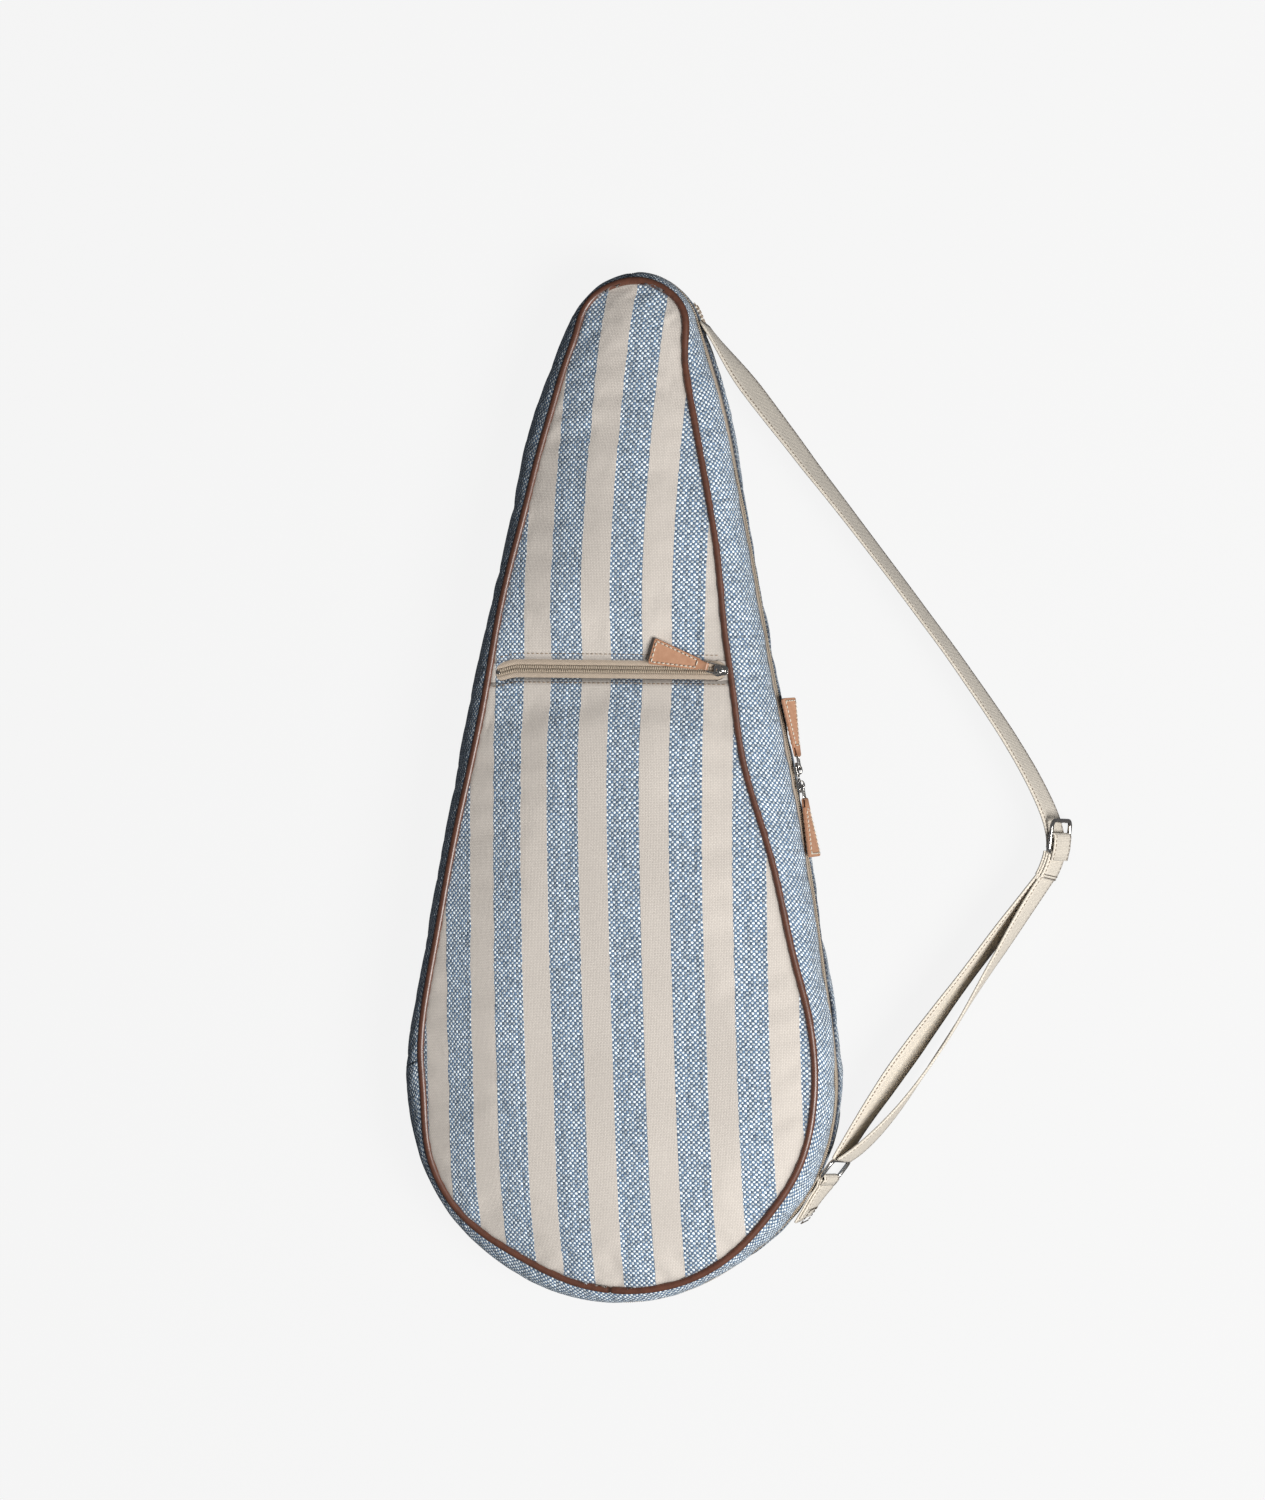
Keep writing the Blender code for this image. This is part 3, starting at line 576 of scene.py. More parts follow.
def wear_and_painted_shade():
    """Handling and age on any finish: colour drifting in broad patches, and a dark colour at creases and
    seams that is partly painted shade, as beside piping, zips and folds, and partly soil.
    """
    name = "Use and wear"
    if name in bpy.data.node_groups:
        return bpy.data.node_groups[name]
    tree, given, made = start_group(
        name,
        (
            ("Colour", "Color", (0.5, 0.5, 0.5, 1)),
            ("Shade and dirt colour", "Color", (0.2, 0.16, 0.12, 1)),
            ("Shade and dirt share", "Float", 0.0),
            ("Patches", "Float", 0.08),
            ("Scale", "Float", 14.0),
        ),
        (("Colour", "Color"), ("Roughness", "Float"), ("Patch", "Float")),
    )
    place = add_node(tree, "ShaderNodeTexCoord").outputs["Object"]
    broad = add_node(
        tree, "ShaderNodeTexNoise", {"Vector": place, "Scale": given.outputs["Scale"], "Detail": 4.0}
    ).outputs["Fac"]
    drift = calc(tree, "MULTIPLY", calc(tree, "SUBTRACT", broad, 0.5), given.outputs["Patches"])
    lifted = calc(tree, "ADD", calc(tree, "MULTIPLY", drift, 4.0), 1.0)
    grey = add_node(tree, "ShaderNodeCombineXYZ", {0: lifted, 1: lifted, 2: lifted}).outputs[0]
    colour = blend_colour(tree, 1.0, given.outputs["Colour"], grey, "MULTIPLY")
    fine = soft_noise(tree, place, 160.0, 3.0)
    # Painted shade and soil: where the per-point mark is high, at seams, piping, zip edges and folds, the
    # colour is pulled towards the dark colour.
    held = calc(tree, "MULTIPLY", given.outputs["Shade and dirt share"], calc(tree, "MULTIPLY_ADD", fine, 0.8, 0.5))
    held = calc(tree, "MINIMUM", calc(tree, "MAXIMUM", held, 0.0), 1.0)
    colour = blend_colour(tree, held, colour, given.outputs["Shade and dirt colour"])
    rough = calc(tree, "MULTIPLY_ADD", drift, 0.8, 0.0)
    tree.links.new(colour, made.inputs["Colour"])
    tree.links.new(rough, made.inputs["Roughness"])
    tree.links.new(broad, made.inputs["Patch"])
    return tree


def leather_grain():
    """Fine pebbled hide with pores and mottling: a colour, a height and a roughness."""
    name = "Leather grain"
    if name in bpy.data.node_groups:
        return bpy.data.node_groups[name]
    tree, given, made = start_group(
        name,
        (
            ("Colour", "Color", (0.5, 0.27, 0.15, 1)),
            ("Depth colour", "Color", (0.2, 0.09, 0.05, 1)),
            ("Scale", "Float", 1100.0),
            ("Rim", "Float", 0.0),
        ),
        (("Colour", "Color"), ("Height", "Float"), ("Roughness", "Float")),
    )
    place = add_node(tree, "ShaderNodeTexCoord").outputs["Object"]
    cells = add_node(
        tree, "ShaderNodeTexVoronoi", {"Vector": place, "Scale": given.outputs["Scale"]}, feature="F1"
    ).outputs["Distance"]
    mottle = soft_noise(tree, place, 240.0, 5.0)
    height = calc(tree, "MULTIPLY_ADD", cells, -0.7, calc(tree, "MULTIPLY", mottle, 0.9))
    tone = calc(tree, "MULTIPLY_ADD", calc(tree, "SUBTRACT", mottle, 0.5), 1.1, 0.12)
    tone = calc(tree, "ADD", tone, calc(tree, "MULTIPLY", cells, 0.18))
    tone = calc(tree, "MULTIPLY_ADD", given.outputs["Rim"], 0.55, tone)
    tone = calc(tree, "MINIMUM", calc(tree, "MAXIMUM", tone, 0.0), 1.0)
    colour = blend_colour(tree, tone, given.outputs["Colour"], given.outputs["Depth colour"])
    rough = calc(tree, "MULTIPLY_ADD", mottle, 0.25, 0.30)
    tree.links.new(colour, made.inputs["Colour"])
    tree.links.new(height, made.inputs["Height"])
    tree.links.new(rough, made.inputs["Roughness"])
    return tree


def new_material(name):
    made = bpy.data.materials.new(name)
    made.use_nodes = True
    return made, made.node_tree, made.node_tree.nodes["Principled BSDF"]


def cloth_place(tree):
    """The across and along places on a cloth piece, in metres, from its UV map."""
    uv = add_node(tree, "ShaderNodeUVMap", uv_map="Cloth").outputs[0]
    split = add_node(tree, "ShaderNodeSeparateXYZ", {0: uv})
    return split.outputs[0], split.outputs[1]


def mark_value(tree, name):
    return add_node(tree, "ShaderNodeAttribute", attribute_name=name).outputs["Fac"]


def finish_cloth(tree, shader, weave, shade_and_dirt_colour, patches, roughness, depth):
    """Wears the weave's colour, darkens it with painted shade and soil at seams, and sends colour, roughness
    and thread height to the shader.
    """
    wear = add_node(
        tree,
        "ShaderNodeGroup",
        node_tree=wear_and_painted_shade(),
    )
    tree.links.new(weave["Colour"], wear.inputs["Colour"])
    tree.links.new(mark_value(tree, "shade_and_dirt"), wear.inputs["Shade and dirt share"])
    wear.inputs["Shade and dirt colour"].default_value = (*shade_and_dirt_colour, 1)
    wear.inputs["Patches"].default_value = patches
    tree.links.new(wear.outputs["Colour"], shader.inputs["Base Color"])
    rough = calc(tree, "ADD", wear.outputs["Roughness"], roughness)
    rough = calc(tree, "MULTIPLY_ADD", weave["Gap"], 0.08, rough)
    tree.links.new(rough, shader.inputs["Roughness"])
    bump = add_node(tree, "ShaderNodeBump", {"Height": weave["Height"], "Strength": 0.75, "Distance": depth})
    tree.links.new(bump.outputs[0], shader.inputs["Normal"])
    shader.inputs["Sheen Weight"].default_value = 0.12
    shader.inputs["Sheen Roughness"].default_value = 0.5
    shader.inputs["Specular IOR Level"].default_value = 0.22


def weave_node(tree, across, along, pitch, warp, weft, slub, gap_shade, uneven=0.15):
    made = add_node(tree, "ShaderNodeGroup", node_tree=woven_cloth())
    for name, value in (
        ("Across", across),
        ("Along", along),
        ("Pitch", pitch),
        ("Warp", warp),
        ("Weft", weft),
        ("Slub", slub),
        ("Gap shade", gap_shade),
        ("Uneven", uneven),
    ):
        if isinstance(value, bpy.types.NodeSocket):
            tree.links.new(value, made.inputs[name])
        elif isinstance(value, (float, int)):
            made.inputs[name].default_value = value
        else:
            made.inputs[name].default_value = (*value, 1)
    return made.outputs


def striped_canvas():
    """Blue stripes of two-colour basket weave between cream stripes of finer plain cloth."""
    name = "Striped canvas"
    if name in bpy.data.materials:
        return bpy.data.materials[name]
    size = bpy.context.scene.cover_canvas
    made, tree, shader = new_material(name)
    across, along = cloth_place(tree)
    wobble = add_node(
        tree, "ShaderNodeTexNoise", {"W": along, "Scale": 160.0, "Detail": 1.0}, noise_dimensions="1D"
    ).outputs["Fac"]
    shifted = calc(tree, "MULTIPLY_ADD", calc(tree, "SUBTRACT", wobble, 0.5), 0.0011, across)
    phase = calc(tree, "DIVIDE", calc(tree, "SUBTRACT", shifted, size.stripe_centre), size.stripe_pitch)
    phase = calc(
        tree, "ABSOLUTE", calc(tree, "SUBTRACT", calc(tree, "FRACT", calc(tree, "ADD", phase, 0.5)), 0.5)
    )
    half = size.blue_width / size.stripe_pitch / 2
    blue = calc(tree, "LESS_THAN", phase, half)
    basket = weave_node(
        tree, across, along, size.thread_pitch, size.blue_yarn, size.white_yarn, 0.75, 1.0, 0.6
    )
    plain = weave_node(
        tree, across, along, size.thread_pitch * 0.62, size.cream_yarn, size.pale_yarn, 0.35, 0.30, 0.06
    )
    joined = {
        "Colour": blend_colour(tree, blue, plain["Colour"], basket["Colour"]),
        "Height": add_node(
            tree,
            "ShaderNodeMix",
            {0: blue, 2: calc(tree, "MULTIPLY", plain["Height"], 0.45), 3: basket["Height"]},
            data_type="FLOAT",
        ).outputs[0],
        "Gap": basket["Gap"],
    }
    finish_cloth(tree, shader, joined, (0.12, 0.10, 0.09), 0.045, 0.80, 0.00045)
    return made


def blue_canvas():
    name = "Blue canvas"
    if name in bpy.data.materials:
        return bpy.data.materials[name]
    size = bpy.context.scene.cover_canvas
    made, tree, shader = new_material(name)
    across, along = cloth_place(tree)
    basket = weave_node(
        tree, across, along, size.thread_pitch, size.blue_yarn, size.white_yarn, 0.75, 1.0, 0.6
    )
    finish_cloth(tree, shader, basket, (0.035, 0.04, 0.055), 0.06, 0.80, 0.00045)
    return made


def lining_cloth():
    name = "Lining cloth"
    if name in bpy.data.materials:
        return bpy.data.materials[name]
    size = bpy.context.scene.cover_canvas
    made, tree, shader = new_material(name)
    across, along = cloth_place(tree)
    plain = weave_node(tree, across, along, 0.0008, size.cream_yarn, size.pale_yarn, 0.3, 0.35)
    finish_cloth(tree, shader, plain, (0.16, 0.13, 0.10), 0.05, 0.82, 0.00015)
    return made


def zip_tape_cloth():
    name = "Zip tape"
    if name in bpy.data.materials:
        return bpy.data.materials[name]
    size = bpy.context.scene.cover_zips
    made, tree, shader = new_material(name)
    across, along = cloth_place(tree)
    dark = tuple(c * 0.72 for c in size.tape_colour)
    herringbone = weave_node(tree, across, along, 0.00062, size.tape_colour, dark, 0.15, 0.35)
    finish_cloth(tree, shader, herringbone, (0.07, 0.05, 0.035), 0.05, 0.72, 0.00012)
    return made


def zip_teeth():
    name = "Zip coil"
    if name in bpy.data.materials:
        return bpy.data.materials[name]
    size = bpy.context.scene.cover_zips
    made, tree, shader = new_material(name)
    place = add_node(tree, "ShaderNodeTexCoord").outputs["Object"]
    tone = soft_noise(tree, place, 900.0, 2.0)
    dark = tuple(c * 0.55 for c in size.coil_colour)
    colour = blend_colour(tree, tone, (*size.coil_colour, 1), (*dark, 1))
    tree.links.new(colour, shader.inputs["Base Color"])
    tree.links.new(calc(tree, "MULTIPLY_ADD", tone, 0.25, 0.30), shader.inputs["Roughness"])
    bump = add_node(tree, "ShaderNodeBump", {"Height": tone, "Strength": 0.4, "Distance": 0.0001})
    tree.links.new(bump.outputs[0], shader.inputs["Normal"])
    return made


def leather(name, colour, depth_colour, coat, grain):
    """Smooth hide with a soft shine, darker along its cut rims."""
    if name in bpy.data.materials:
        return bpy.data.materials[name]
    made, tree, shader = new_material(name)
    hide = add_node(tree, "ShaderNodeGroup", node_tree=leather_grain())
    hide.inputs["Colour"].default_value = (*colour, 1)
    hide.inputs["Depth colour"].default_value = (*depth_colour, 1)
    hide.inputs["Scale"].default_value = grain
    tree.links.new(mark_value(tree, "rim"), hide.inputs["Rim"])
    wear = add_node(tree, "ShaderNodeGroup", node_tree=wear_and_painted_shade())
    tree.links.new(hide.outputs["Colour"], wear.inputs["Colour"])
    # Painted shade and soil: the hide darkens where the per-point mark is high, as on the piping's side that
    # faces the gusset.
    tree.links.new(mark_value(tree, "shade_and_dirt"), wear.inputs["Shade and dirt share"])
    wear.inputs["Shade and dirt colour"].default_value = (0.035, 0.016, 0.01, 1)
    wear.inputs["Patches"].default_value = 0.05
    wear.inputs["Scale"].default_value = 40.0
    tree.links.new(wear.outputs["Colour"], shader.inputs["Base Color"])
    rough = calc(tree, "ADD", wear.outputs["Roughness"], hide.outputs["Roughness"])
    tree.links.new(rough, shader.inputs["Roughness"])
    bump = add_node(
        tree, "ShaderNodeBump", {"Height": hide.outputs["Height"], "Strength": 0.35, "Distance": 0.00012}
    )
    tree.links.new(bump.outputs[0], shader.inputs["Normal"])
    shader.inputs["Coat Weight"].default_value = coat
    shader.inputs["Coat Roughness"].default_value = 0.25
    return made


def puller_leather():
    size = bpy.context.scene.cover_leather
    return leather("Puller leather", size.puller_colour, size.puller_depth, 0.10, 1100.0)


def piping_leather():
    size = bpy.context.scene.cover_leather
    return leather("Piping leather", size.piping_colour, size.piping_depth, 0.45, 1500.0)


def thread(name, colour):
    """Twisted sewing thread."""
    if name in bpy.data.materials:
        return bpy.data.materials[name]
    made, tree, shader = new_material(name)
    across, along = cloth_place(tree)
    twist = calc(tree, "ADD", calc(tree, "MULTIPLY", across, 9000.0), calc(tree, "MULTIPLY", along, 1250.0))
    lay = calc(tree, "MULTIPLY_ADD", calc(tree, "SINE", twist), 0.5, 0.5)
    # Painted shade: the thread is darker in the grooves of its twist, where the bump is low.
    dark = tuple(c * 0.6 for c in colour)
    tree.links.new(blend_colour(tree, lay, (*dark, 1), (*colour, 1)), shader.inputs["Base Color"])
    tree.links.new(calc(tree, "MULTIPLY_ADD", lay, 0.2, 0.6), shader.inputs["Roughness"])
    bump = add_node(tree, "ShaderNodeBump", {"Height": lay, "Strength": 0.5, "Distance": 0.0001})
    tree.links.new(bump.outputs[0], shader.inputs["Normal"])
    return made


def nickel():
    """Polished nickel plate with fine handling marks and dull patches."""
    name = "Nickel plate"
    if name in bpy.data.materials:
        return bpy.data.materials[name]
    size = bpy.context.scene.cover_zips
    made, tree, shader = new_material(name)
    place = add_node(tree, "ShaderNodeTexCoord").outputs["Object"]
    marks = add_node(
        tree, "ShaderNodeTexNoise", {"Vector": place, "Scale": 600.0, "Detail": 6.0, "Roughness": 0.7}
    ).outputs["Fac"]
    dull = soft_noise(tree, place, 120.0, 2.0)
    colour = blend_colour(
        tree, calc(tree, "MULTIPLY", dull, 0.5), (*size.metal_colour, 1), (0.42, 0.40, 0.37, 1)
    )
    tree.links.new(colour, shader.inputs["Base Color"])
    shader.inputs["Metallic"].default_value = 1.0
    tree.links.new(calc(tree, "MULTIPLY_ADD", marks, 0.22, 0.08), shader.inputs["Roughness"])
    bump = add_node(tree, "ShaderNodeBump", {"Height": marks, "Strength": 0.08, "Distance": 0.0001})
    tree.links.new(bump.outputs[0], shader.inputs["Normal"])
    return made


def cotton_webbing():
    """Ribbed cotton webbing with a row of stitches near each edge. UV runs across and along it."""
    name = "Cotton webbing"
    if name in bpy.data.materials:
        return bpy.data.materials[name]
    size = bpy.context.scene.cover_strap
    made, tree, shader = new_material(name)
    across, along = cloth_place(tree)
    dark = tuple(c * 0.86 for c in size.webbing_colour)
    ribs = weave_node(tree, across, along, 0.00115, size.webbing_colour, dark, 0.25, 0.35)
    from_edge = calc(tree, "SUBTRACT", WEBBING_WIDTH / 2, calc(tree, "ABSOLUTE", across))
    beside = calc(tree, "ABSOLUTE", calc(tree, "SUBTRACT", from_edge, size.edge_stitch))
    row = calc(tree, "LESS_THAN", beside, 0.0008)
    dash = calc(tree, "FRACT", calc(tree, "DIVIDE", along, size.stitch_pitch))
    dash = calc(tree, "LESS_THAN", calc(tree, "ABSOLUTE", calc(tree, "SUBTRACT", dash, 0.5)), 0.28)
    stitch = calc(tree, "MULTIPLY", row, dash)
    colour = blend_colour(tree, stitch, ribs["Colour"], (*size.stitch_colour, 1))
    dent = calc(tree, "MAXIMUM", calc(tree, "SUBTRACT", 1.0, calc(tree, "DIVIDE", beside, 0.0012)), 0.0)
    height = calc(tree, "MULTIPLY_ADD", dent, -1.2, ribs["Height"])
    height = calc(tree, "MULTIPLY_ADD", stitch, 1.0, height)
    joined = {"Colour": colour, "Height": height, "Gap": ribs["Gap"]}
    finish_cloth(tree, shader, joined, (0.20, 0.15, 0.11), 0.04, 0.78, 0.0003)
    return made


def dress(piece, made, body, slot, *nodes):
    """Gives a piece its material, puts it on a body, and hides the CAD nodes it stands for; its slot is not
    used.
    """
    piece.data.materials.clear()
    piece.data.materials.append(made)
    if body:
        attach(piece, body)
    if nodes:
        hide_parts(*nodes)
    return piece


# Canvas panels, gusset, piping and linings


STRIPE_DRIFT = np.polyfit(
    (-0.085, 0.06, 0.20, 0.35, 0.49, 0.57), (0.007, 0.0, -0.004, -0.0056, -0.002, 0.006), 3
)


def cloth_uv(x, y):
    """Where the striped cloth lies: across and along it, with the drift that sewing gave the stripes."""
    squeeze = 0.008 * np.maximum(0.0, -x / 0.111) ** 3
    return np.stack([x - np.polyval(STRIPE_DRIFT, np.clip(y, -0.12, 0.58)) - squeeze, y], axis=-1)


def panel_grid(edge, inset, low, high, rows, columns, ease):
    """Points in plan over an outline between two values of y: rows along y, columns across."""
    share = np.linspace(0, 1, rows)
    if ease == "low":
        share = 1 - np.cos(share * pi / 2)
    elif ease == "high":
        share = np.sin(share * pi / 2)
    elif ease == "both":
        share = (1 - np.cos(share * pi)) / 2
    y = low + (high - low) * share
    right = width_at(edge, y, True) - inset
    left = width_at(edge, y, False) + inset
    across = np.sin(np.linspace(-pi / 2, pi / 2, columns))
    x = (left + right)[:, None] / 2 + (right - left)[:, None] / 2 * across[None]
    return x, np.broadcast_to(y[:, None], x.shape).copy()


def inner_edge(edge, inset):
    return edge - round_normals(edge) * inset


def front_points(x, y):
    """Points of the padded front, with the small puckers of its sewn edge."""
    flat = np.stack([x.ravel(), y.ravel()], axis=1)
    inside, which = nearest_edge(flat, FRONT_EDGE)
    inside = np.maximum(0.0, inside - PIPING_RADIUS - GAP)
    z = front_height(flat[:, 1], inside)
    run = RUN[which]
    pucker = rough(run, inside * 0.6, 3, 0.011) * np.exp(-inside / 0.012) * (1 - np.exp(-inside / 0.002))
    wave = rough(flat[:, 0], flat[:, 1] * 0.7, 5, 0.07) * (1 - np.exp(-inside / 0.02))
    calm = 1 - np.exp(-(((flat[:, 1] - POCKET_ZIP_Y) / 0.012) ** 2))
    z = z + (pucker * 0.0010 + wave * 0.0014) * calm
    return np.stack([flat[:, 0], flat[:, 1], z], axis=1).reshape(*x.shape, 3), inside.reshape(x.shape)


def front_canvas_piece(name, low, high, rows, ease, *nodes):
    edge = inner_edge(FRONT_EDGE, PIPING_RADIUS * 0.55)
    x, y = panel_grid(edge, 0.0, low, high, rows, 76, ease)
    near_zip = np.exp(-(((y - POCKET_ZIP_Y) / 0.03) ** 2))
    y = y + zip_sag(x) * near_zip
    points, inside = front_points(x, y)
    turned = np.exp(-np.abs(y - POCKET_ZIP_Y - zip_sag(x) * near_zip) / 0.0009 + POCKET_HALF_OPENING / 0.0009)
    points[..., 2] -= 0.0006 * np.minimum(1.0, turned)
    # Painted shade and soil: the canvas darkens beside the piping and where it turns down into the pocket
    # opening, standing for the shadow there.
    shade_and_dirt = 0.85 * np.exp(-inside / 0.0011) + 0.45 * np.minimum(1.0, turned)
    piece = new_piece(name, points, grid_faces(*x.shape), cloth_uv(x, y), {"shade_and_dirt": shade_and_dirt})
    held = np.zeros(x.shape)
    held[:, :2] = held[:, -2:] = held[0] = held[-1] = 1
    held = np.maximum(held, np.minimum(1.0, np.exp(-((y - POCKET_ZIP_Y) ** 2) / 0.0003)) * 0.9)
    settle(piece, held.ravel(), 2.2, 0.006, 0.0035)
    thicken(piece, 0.0018)
    keep_modifiers(piece)
    dress(piece, striped_canvas(), "cover", "striped_canvas", *nodes)
    return piece


def back_canvas_piece():
    x, y = panel_grid(
        inner_edge(BACK_EDGE, PIPING_RADIUS * 0.55), 0.0, -HEAD_RADIUS + PANEL_INSET + 0.0022,
        CENTRE_SPAN + TIP_RADIUS - PANEL_INSET - 0.0022, 150, 64, "both",
    )
    x = x[:, ::-1]
    flat = np.stack([x.ravel(), y.ravel()], axis=1)
    inside, which = nearest_edge(flat, BACK_EDGE)
    inside = np.maximum(0.0, inside - PIPING_RADIUS)
    rim = 0.0014 * np.exp(-inside / 0.004)
    wave = np.abs(rough(RUN[which], inside, 9, 0.02)) * np.exp(-inside / 0.015) * 0.0006
    points = np.stack([flat[:, 0], flat[:, 1], 0.0002 + rim + wave], axis=1)
    # Painted shade and soil: the canvas darkens beside the piping, standing for its contact shadow.
    shade_and_dirt = 0.85 * np.exp(-inside / 0.0011)
    uv = np.stack([flat[:, 0], flat[:, 1]], axis=1)
    piece = new_piece("back_canvas", points, grid_faces(*x.shape), uv, {"shade_and_dirt": shade_and_dirt})
    thicken(piece, 0.0018)
    keep_modifiers(piece)
    dress(piece, striped_canvas(), "shell", "striped_canvas", "back_panel")


def wall(rows, climbs, depth=0.0, soft=0.0):
    """Points on the gusset's wall: climb -1 at the back edge, 0 at the belly, 1 at the front edge."""
    rows = np.asarray(rows) % COUNT
    climbs = np.broadcast_to(climbs, (len(rows), np.shape(climbs)[-1]))
    belly = BELLY[rows][:, None]
    edge = np.where((climbs >= 0)[..., None], FRONT_EDGE[rows][:, None], BACK_EDGE[rows][:, None])
    lean = np.sqrt(np.maximum(0.0, 1 - climbs**2))
    inset = np.linalg.norm(edge - belly, axis=2)
    top = edge_height(BELLY[rows][:, 1])[:, None] - MIDDLE
    rise = np.where(climbs >= 0, top, MIDDLE)
    out = np.stack([lean * rise, climbs * inset], axis=2)
    out /= np.linalg.norm(out, axis=2)[..., None]
    below = depth - soft
    below = np.broadcast_to(below, climbs.shape)[..., None]
    flat = belly + (edge - belly) * (1 - lean)[..., None]
    drawn = ZIP_IN[rows][:, None] * np.exp(-((rise * climbs / ZIP_BULGE) ** 2))
    flat = flat - BELLY_OUT[rows][:, None] * (out[..., :1] * below + drawn[..., None])
    z = MIDDLE + rise * climbs - out[..., 1] * below[..., 0]
    return np.concatenate([flat, z[..., None]], axis=2)


def top_climb(rows, front):
    """How far up the wall the cloth runs before it meets the piping."""
    rows = np.asarray(rows) % COUNT
    edge = FRONT_EDGE if front else BACK_EDGE
    inset = np.linalg.norm(edge[rows] - BELLY[rows], axis=1)
    share = np.minimum(0.9, (PIPING_RADIUS * 0.6) / inset)
    return np.sqrt(1 - share**2)


def wall_wrinkles(run, climbs):
    """Soft cross puckers of the padded gusset, strongest near the piping."""
    c = np.abs(climbs)
    fade = smooth(c / 0.35) * smooth((1.02 - c) / 0.16)
    cross = rough(run + climbs * 0.016, climbs * 0.016, 11, 0.013)
    broad = rough(run + climbs * 0.03, climbs * 0.02, 17, 0.045)
    return fade * (cross * 0.0012 + broad * 0.0016)


def gusset_piece(name, rows, start, front, body, *nodes):
    """A length of the gusset. Its inner edge stands start from the middle; None means full height."""
    rows = np.asarray(rows)
    run = RUN[rows % COUNT] + np.where(rows >= COUNT, RUN[-1], 0.0)
    if start is None:
        low = -np.arcsin(top_climb(rows, False))
        high = np.arcsin(top_climb(rows, True))
        share = np.linspace(0, 1, 30)
    else:
        sign = 1 if front else -1
        low = np.full(len(rows), sign * np.arcsin(start / MIDDLE))
        high = sign * np.arcsin(top_climb(rows, front))
        if not front:
            low, high = high, low
        share = np.linspace(0, 1, 17)
    climbs = np.sin(low[:, None] + (high - low)[:, None] * share[None])
    full = smooth((run / RUN[-1] - 0.16) / 0.05) * smooth((0.56 - run / RUN[-1]) / 0.05)
    soft = wall_wrinkles(run[:, None], climbs) * (0.35 + 0.65 * full)[:, None]
    tip = np.abs(run - RUN[TIP_TOP])
    soft = soft - 0.0009 * np.exp(-((tip / 0.0016) ** 2))[:, None]
    points = wall(rows, climbs, 0.0, soft)
    reach = np.zeros(climbs.shape)
    reach[:, 1:] = np.cumsum(np.linalg.norm(np.diff(points, axis=1), axis=2), axis=1)
    measured = reach - reach[:, -1:] if front else reach
    uv = np.stack(np.broadcast_arrays(run[:, None], measured), axis=2)
    from_end = np.minimum(reach, reach[:, -1:] - reach)
    # Painted shade and soil: the gusset darkens beside the piping, in the dip at the tip and at the piece's
    # ends, standing for the shadow at these seams.
    shade_and_dirt = 0.85 * np.exp(-from_end / 0.0010) + 0.8 * np.exp(-tip / 0.0007)[:, None]
    ends = np.minimum(run - run[0], run[-1] - run)
    shade_and_dirt = shade_and_dirt + 0.6 * np.exp(-ends / 0.0008)[:, None]
    faces = [tuple(reversed(f)) for f in grid_faces(*climbs.shape)]
    piece = new_piece(name, points, faces, uv, {"shade_and_dirt": np.minimum(1.0, shade_and_dirt)})
    held = np.zeros(climbs.shape)
    held[:, :1] = held[:, -1:] = held[:2] = held[-2:] = 1
    held = np.maximum(held, np.exp(-((tip / 0.004) ** 2))[:, None])
    settle(piece, held.ravel(), 1.2, 0.004, 0.0013)
    for made in (blue_canvas(), lining_cloth()):
        piece.data.materials.append(made)
    thicken(piece, 0.0018).material_offset = 1
    keep_modifiers(piece)
    sides = [face.material_index for face in piece.data.polygons]
    dress(piece, blue_canvas(), body, "blue_canvas", *nodes)
    piece.data.materials.append(lining_cloth())
    piece.data.polygons.foreach_set("material_index", sides)
    return piece


def piping_piece(name, edge, height, body, node):
    run = np.concatenate([[0], np.cumsum(np.linalg.norm(np.diff(edge, axis=0), axis=1))])
    join = np.exp(-(((run - run[HEAD_LOW]) / 0.0009) ** 2))
    plump = 1.28 + 0.05 * rough(run, 0.0, 21, 0.02)
    lift = 0.0003 if height.mean() > MIDDLE else 0.0007
    path = np.column_stack([edge, height + lift])
    path[:, 2] += 0.0003 * rough(run, 0.0, 23, 0.03)
    points, faces, uv = tube(path, PIPING_RADIUS * plump * (1 - 0.28 * join), 14, True)
    turns = 2 * pi * np.arange(14) / 14
    # Painted shade: the side of the piping that faces the gusset is darkened, standing for the shadow where
    # piping meets cloth; the darker joint is the leather's own.
    facing = -np.sin(turns) if height.mean() > MIDDLE else np.sin(turns)
    low = smooth(facing * 1.6 + 0.55)
    shade_and_dirt = np.maximum(low[None] * 0.95, join[:, None] * 0.9)
    piece = new_piece(name, points, faces, uv, {"shade_and_dirt": shade_and_dirt, "rim": join[:, None] * np.ones(14)})
    dress(piece, piping_leather(), body, "tan_leather", node)


def lining_piece(name, edge, inset, height_at, down, body, node):
    y_low, y_high = edge[:, 1].min() + inset + 0.0006, edge[:, 1].max() - inset - 0.0006
    x, y = panel_grid(edge, inset, y_low, y_high, 76, 40, "both")
    if down:
        x = x[:, ::-1]
    near, _ = nearest_edge(np.stack([x.ravel(), y.ravel()], axis=1), edge)
    near = near.reshape(x.shape)
    fold = rough(x, y * 0.5, 31, 0.035) * (1 - np.exp(-near / 0.02))
    z = height_at(y) + 0.0011 * fold * (-1 if down else 1)
    points = np.stack([x, y, z], axis=2)
    uv = np.stack([x, y], axis=2)
    # Painted shade and soil: the lining darkens beside its sewn edge.
    shade_and_dirt = 0.7 * np.exp(-near / 0.002)
    piece = sheet_piece(name, points, uv, {"shade_and_dirt": shade_and_dirt}, 0.0009)
    keep_modifiers(piece)
    dress(piece, lining_cloth(), body, "lining", node)


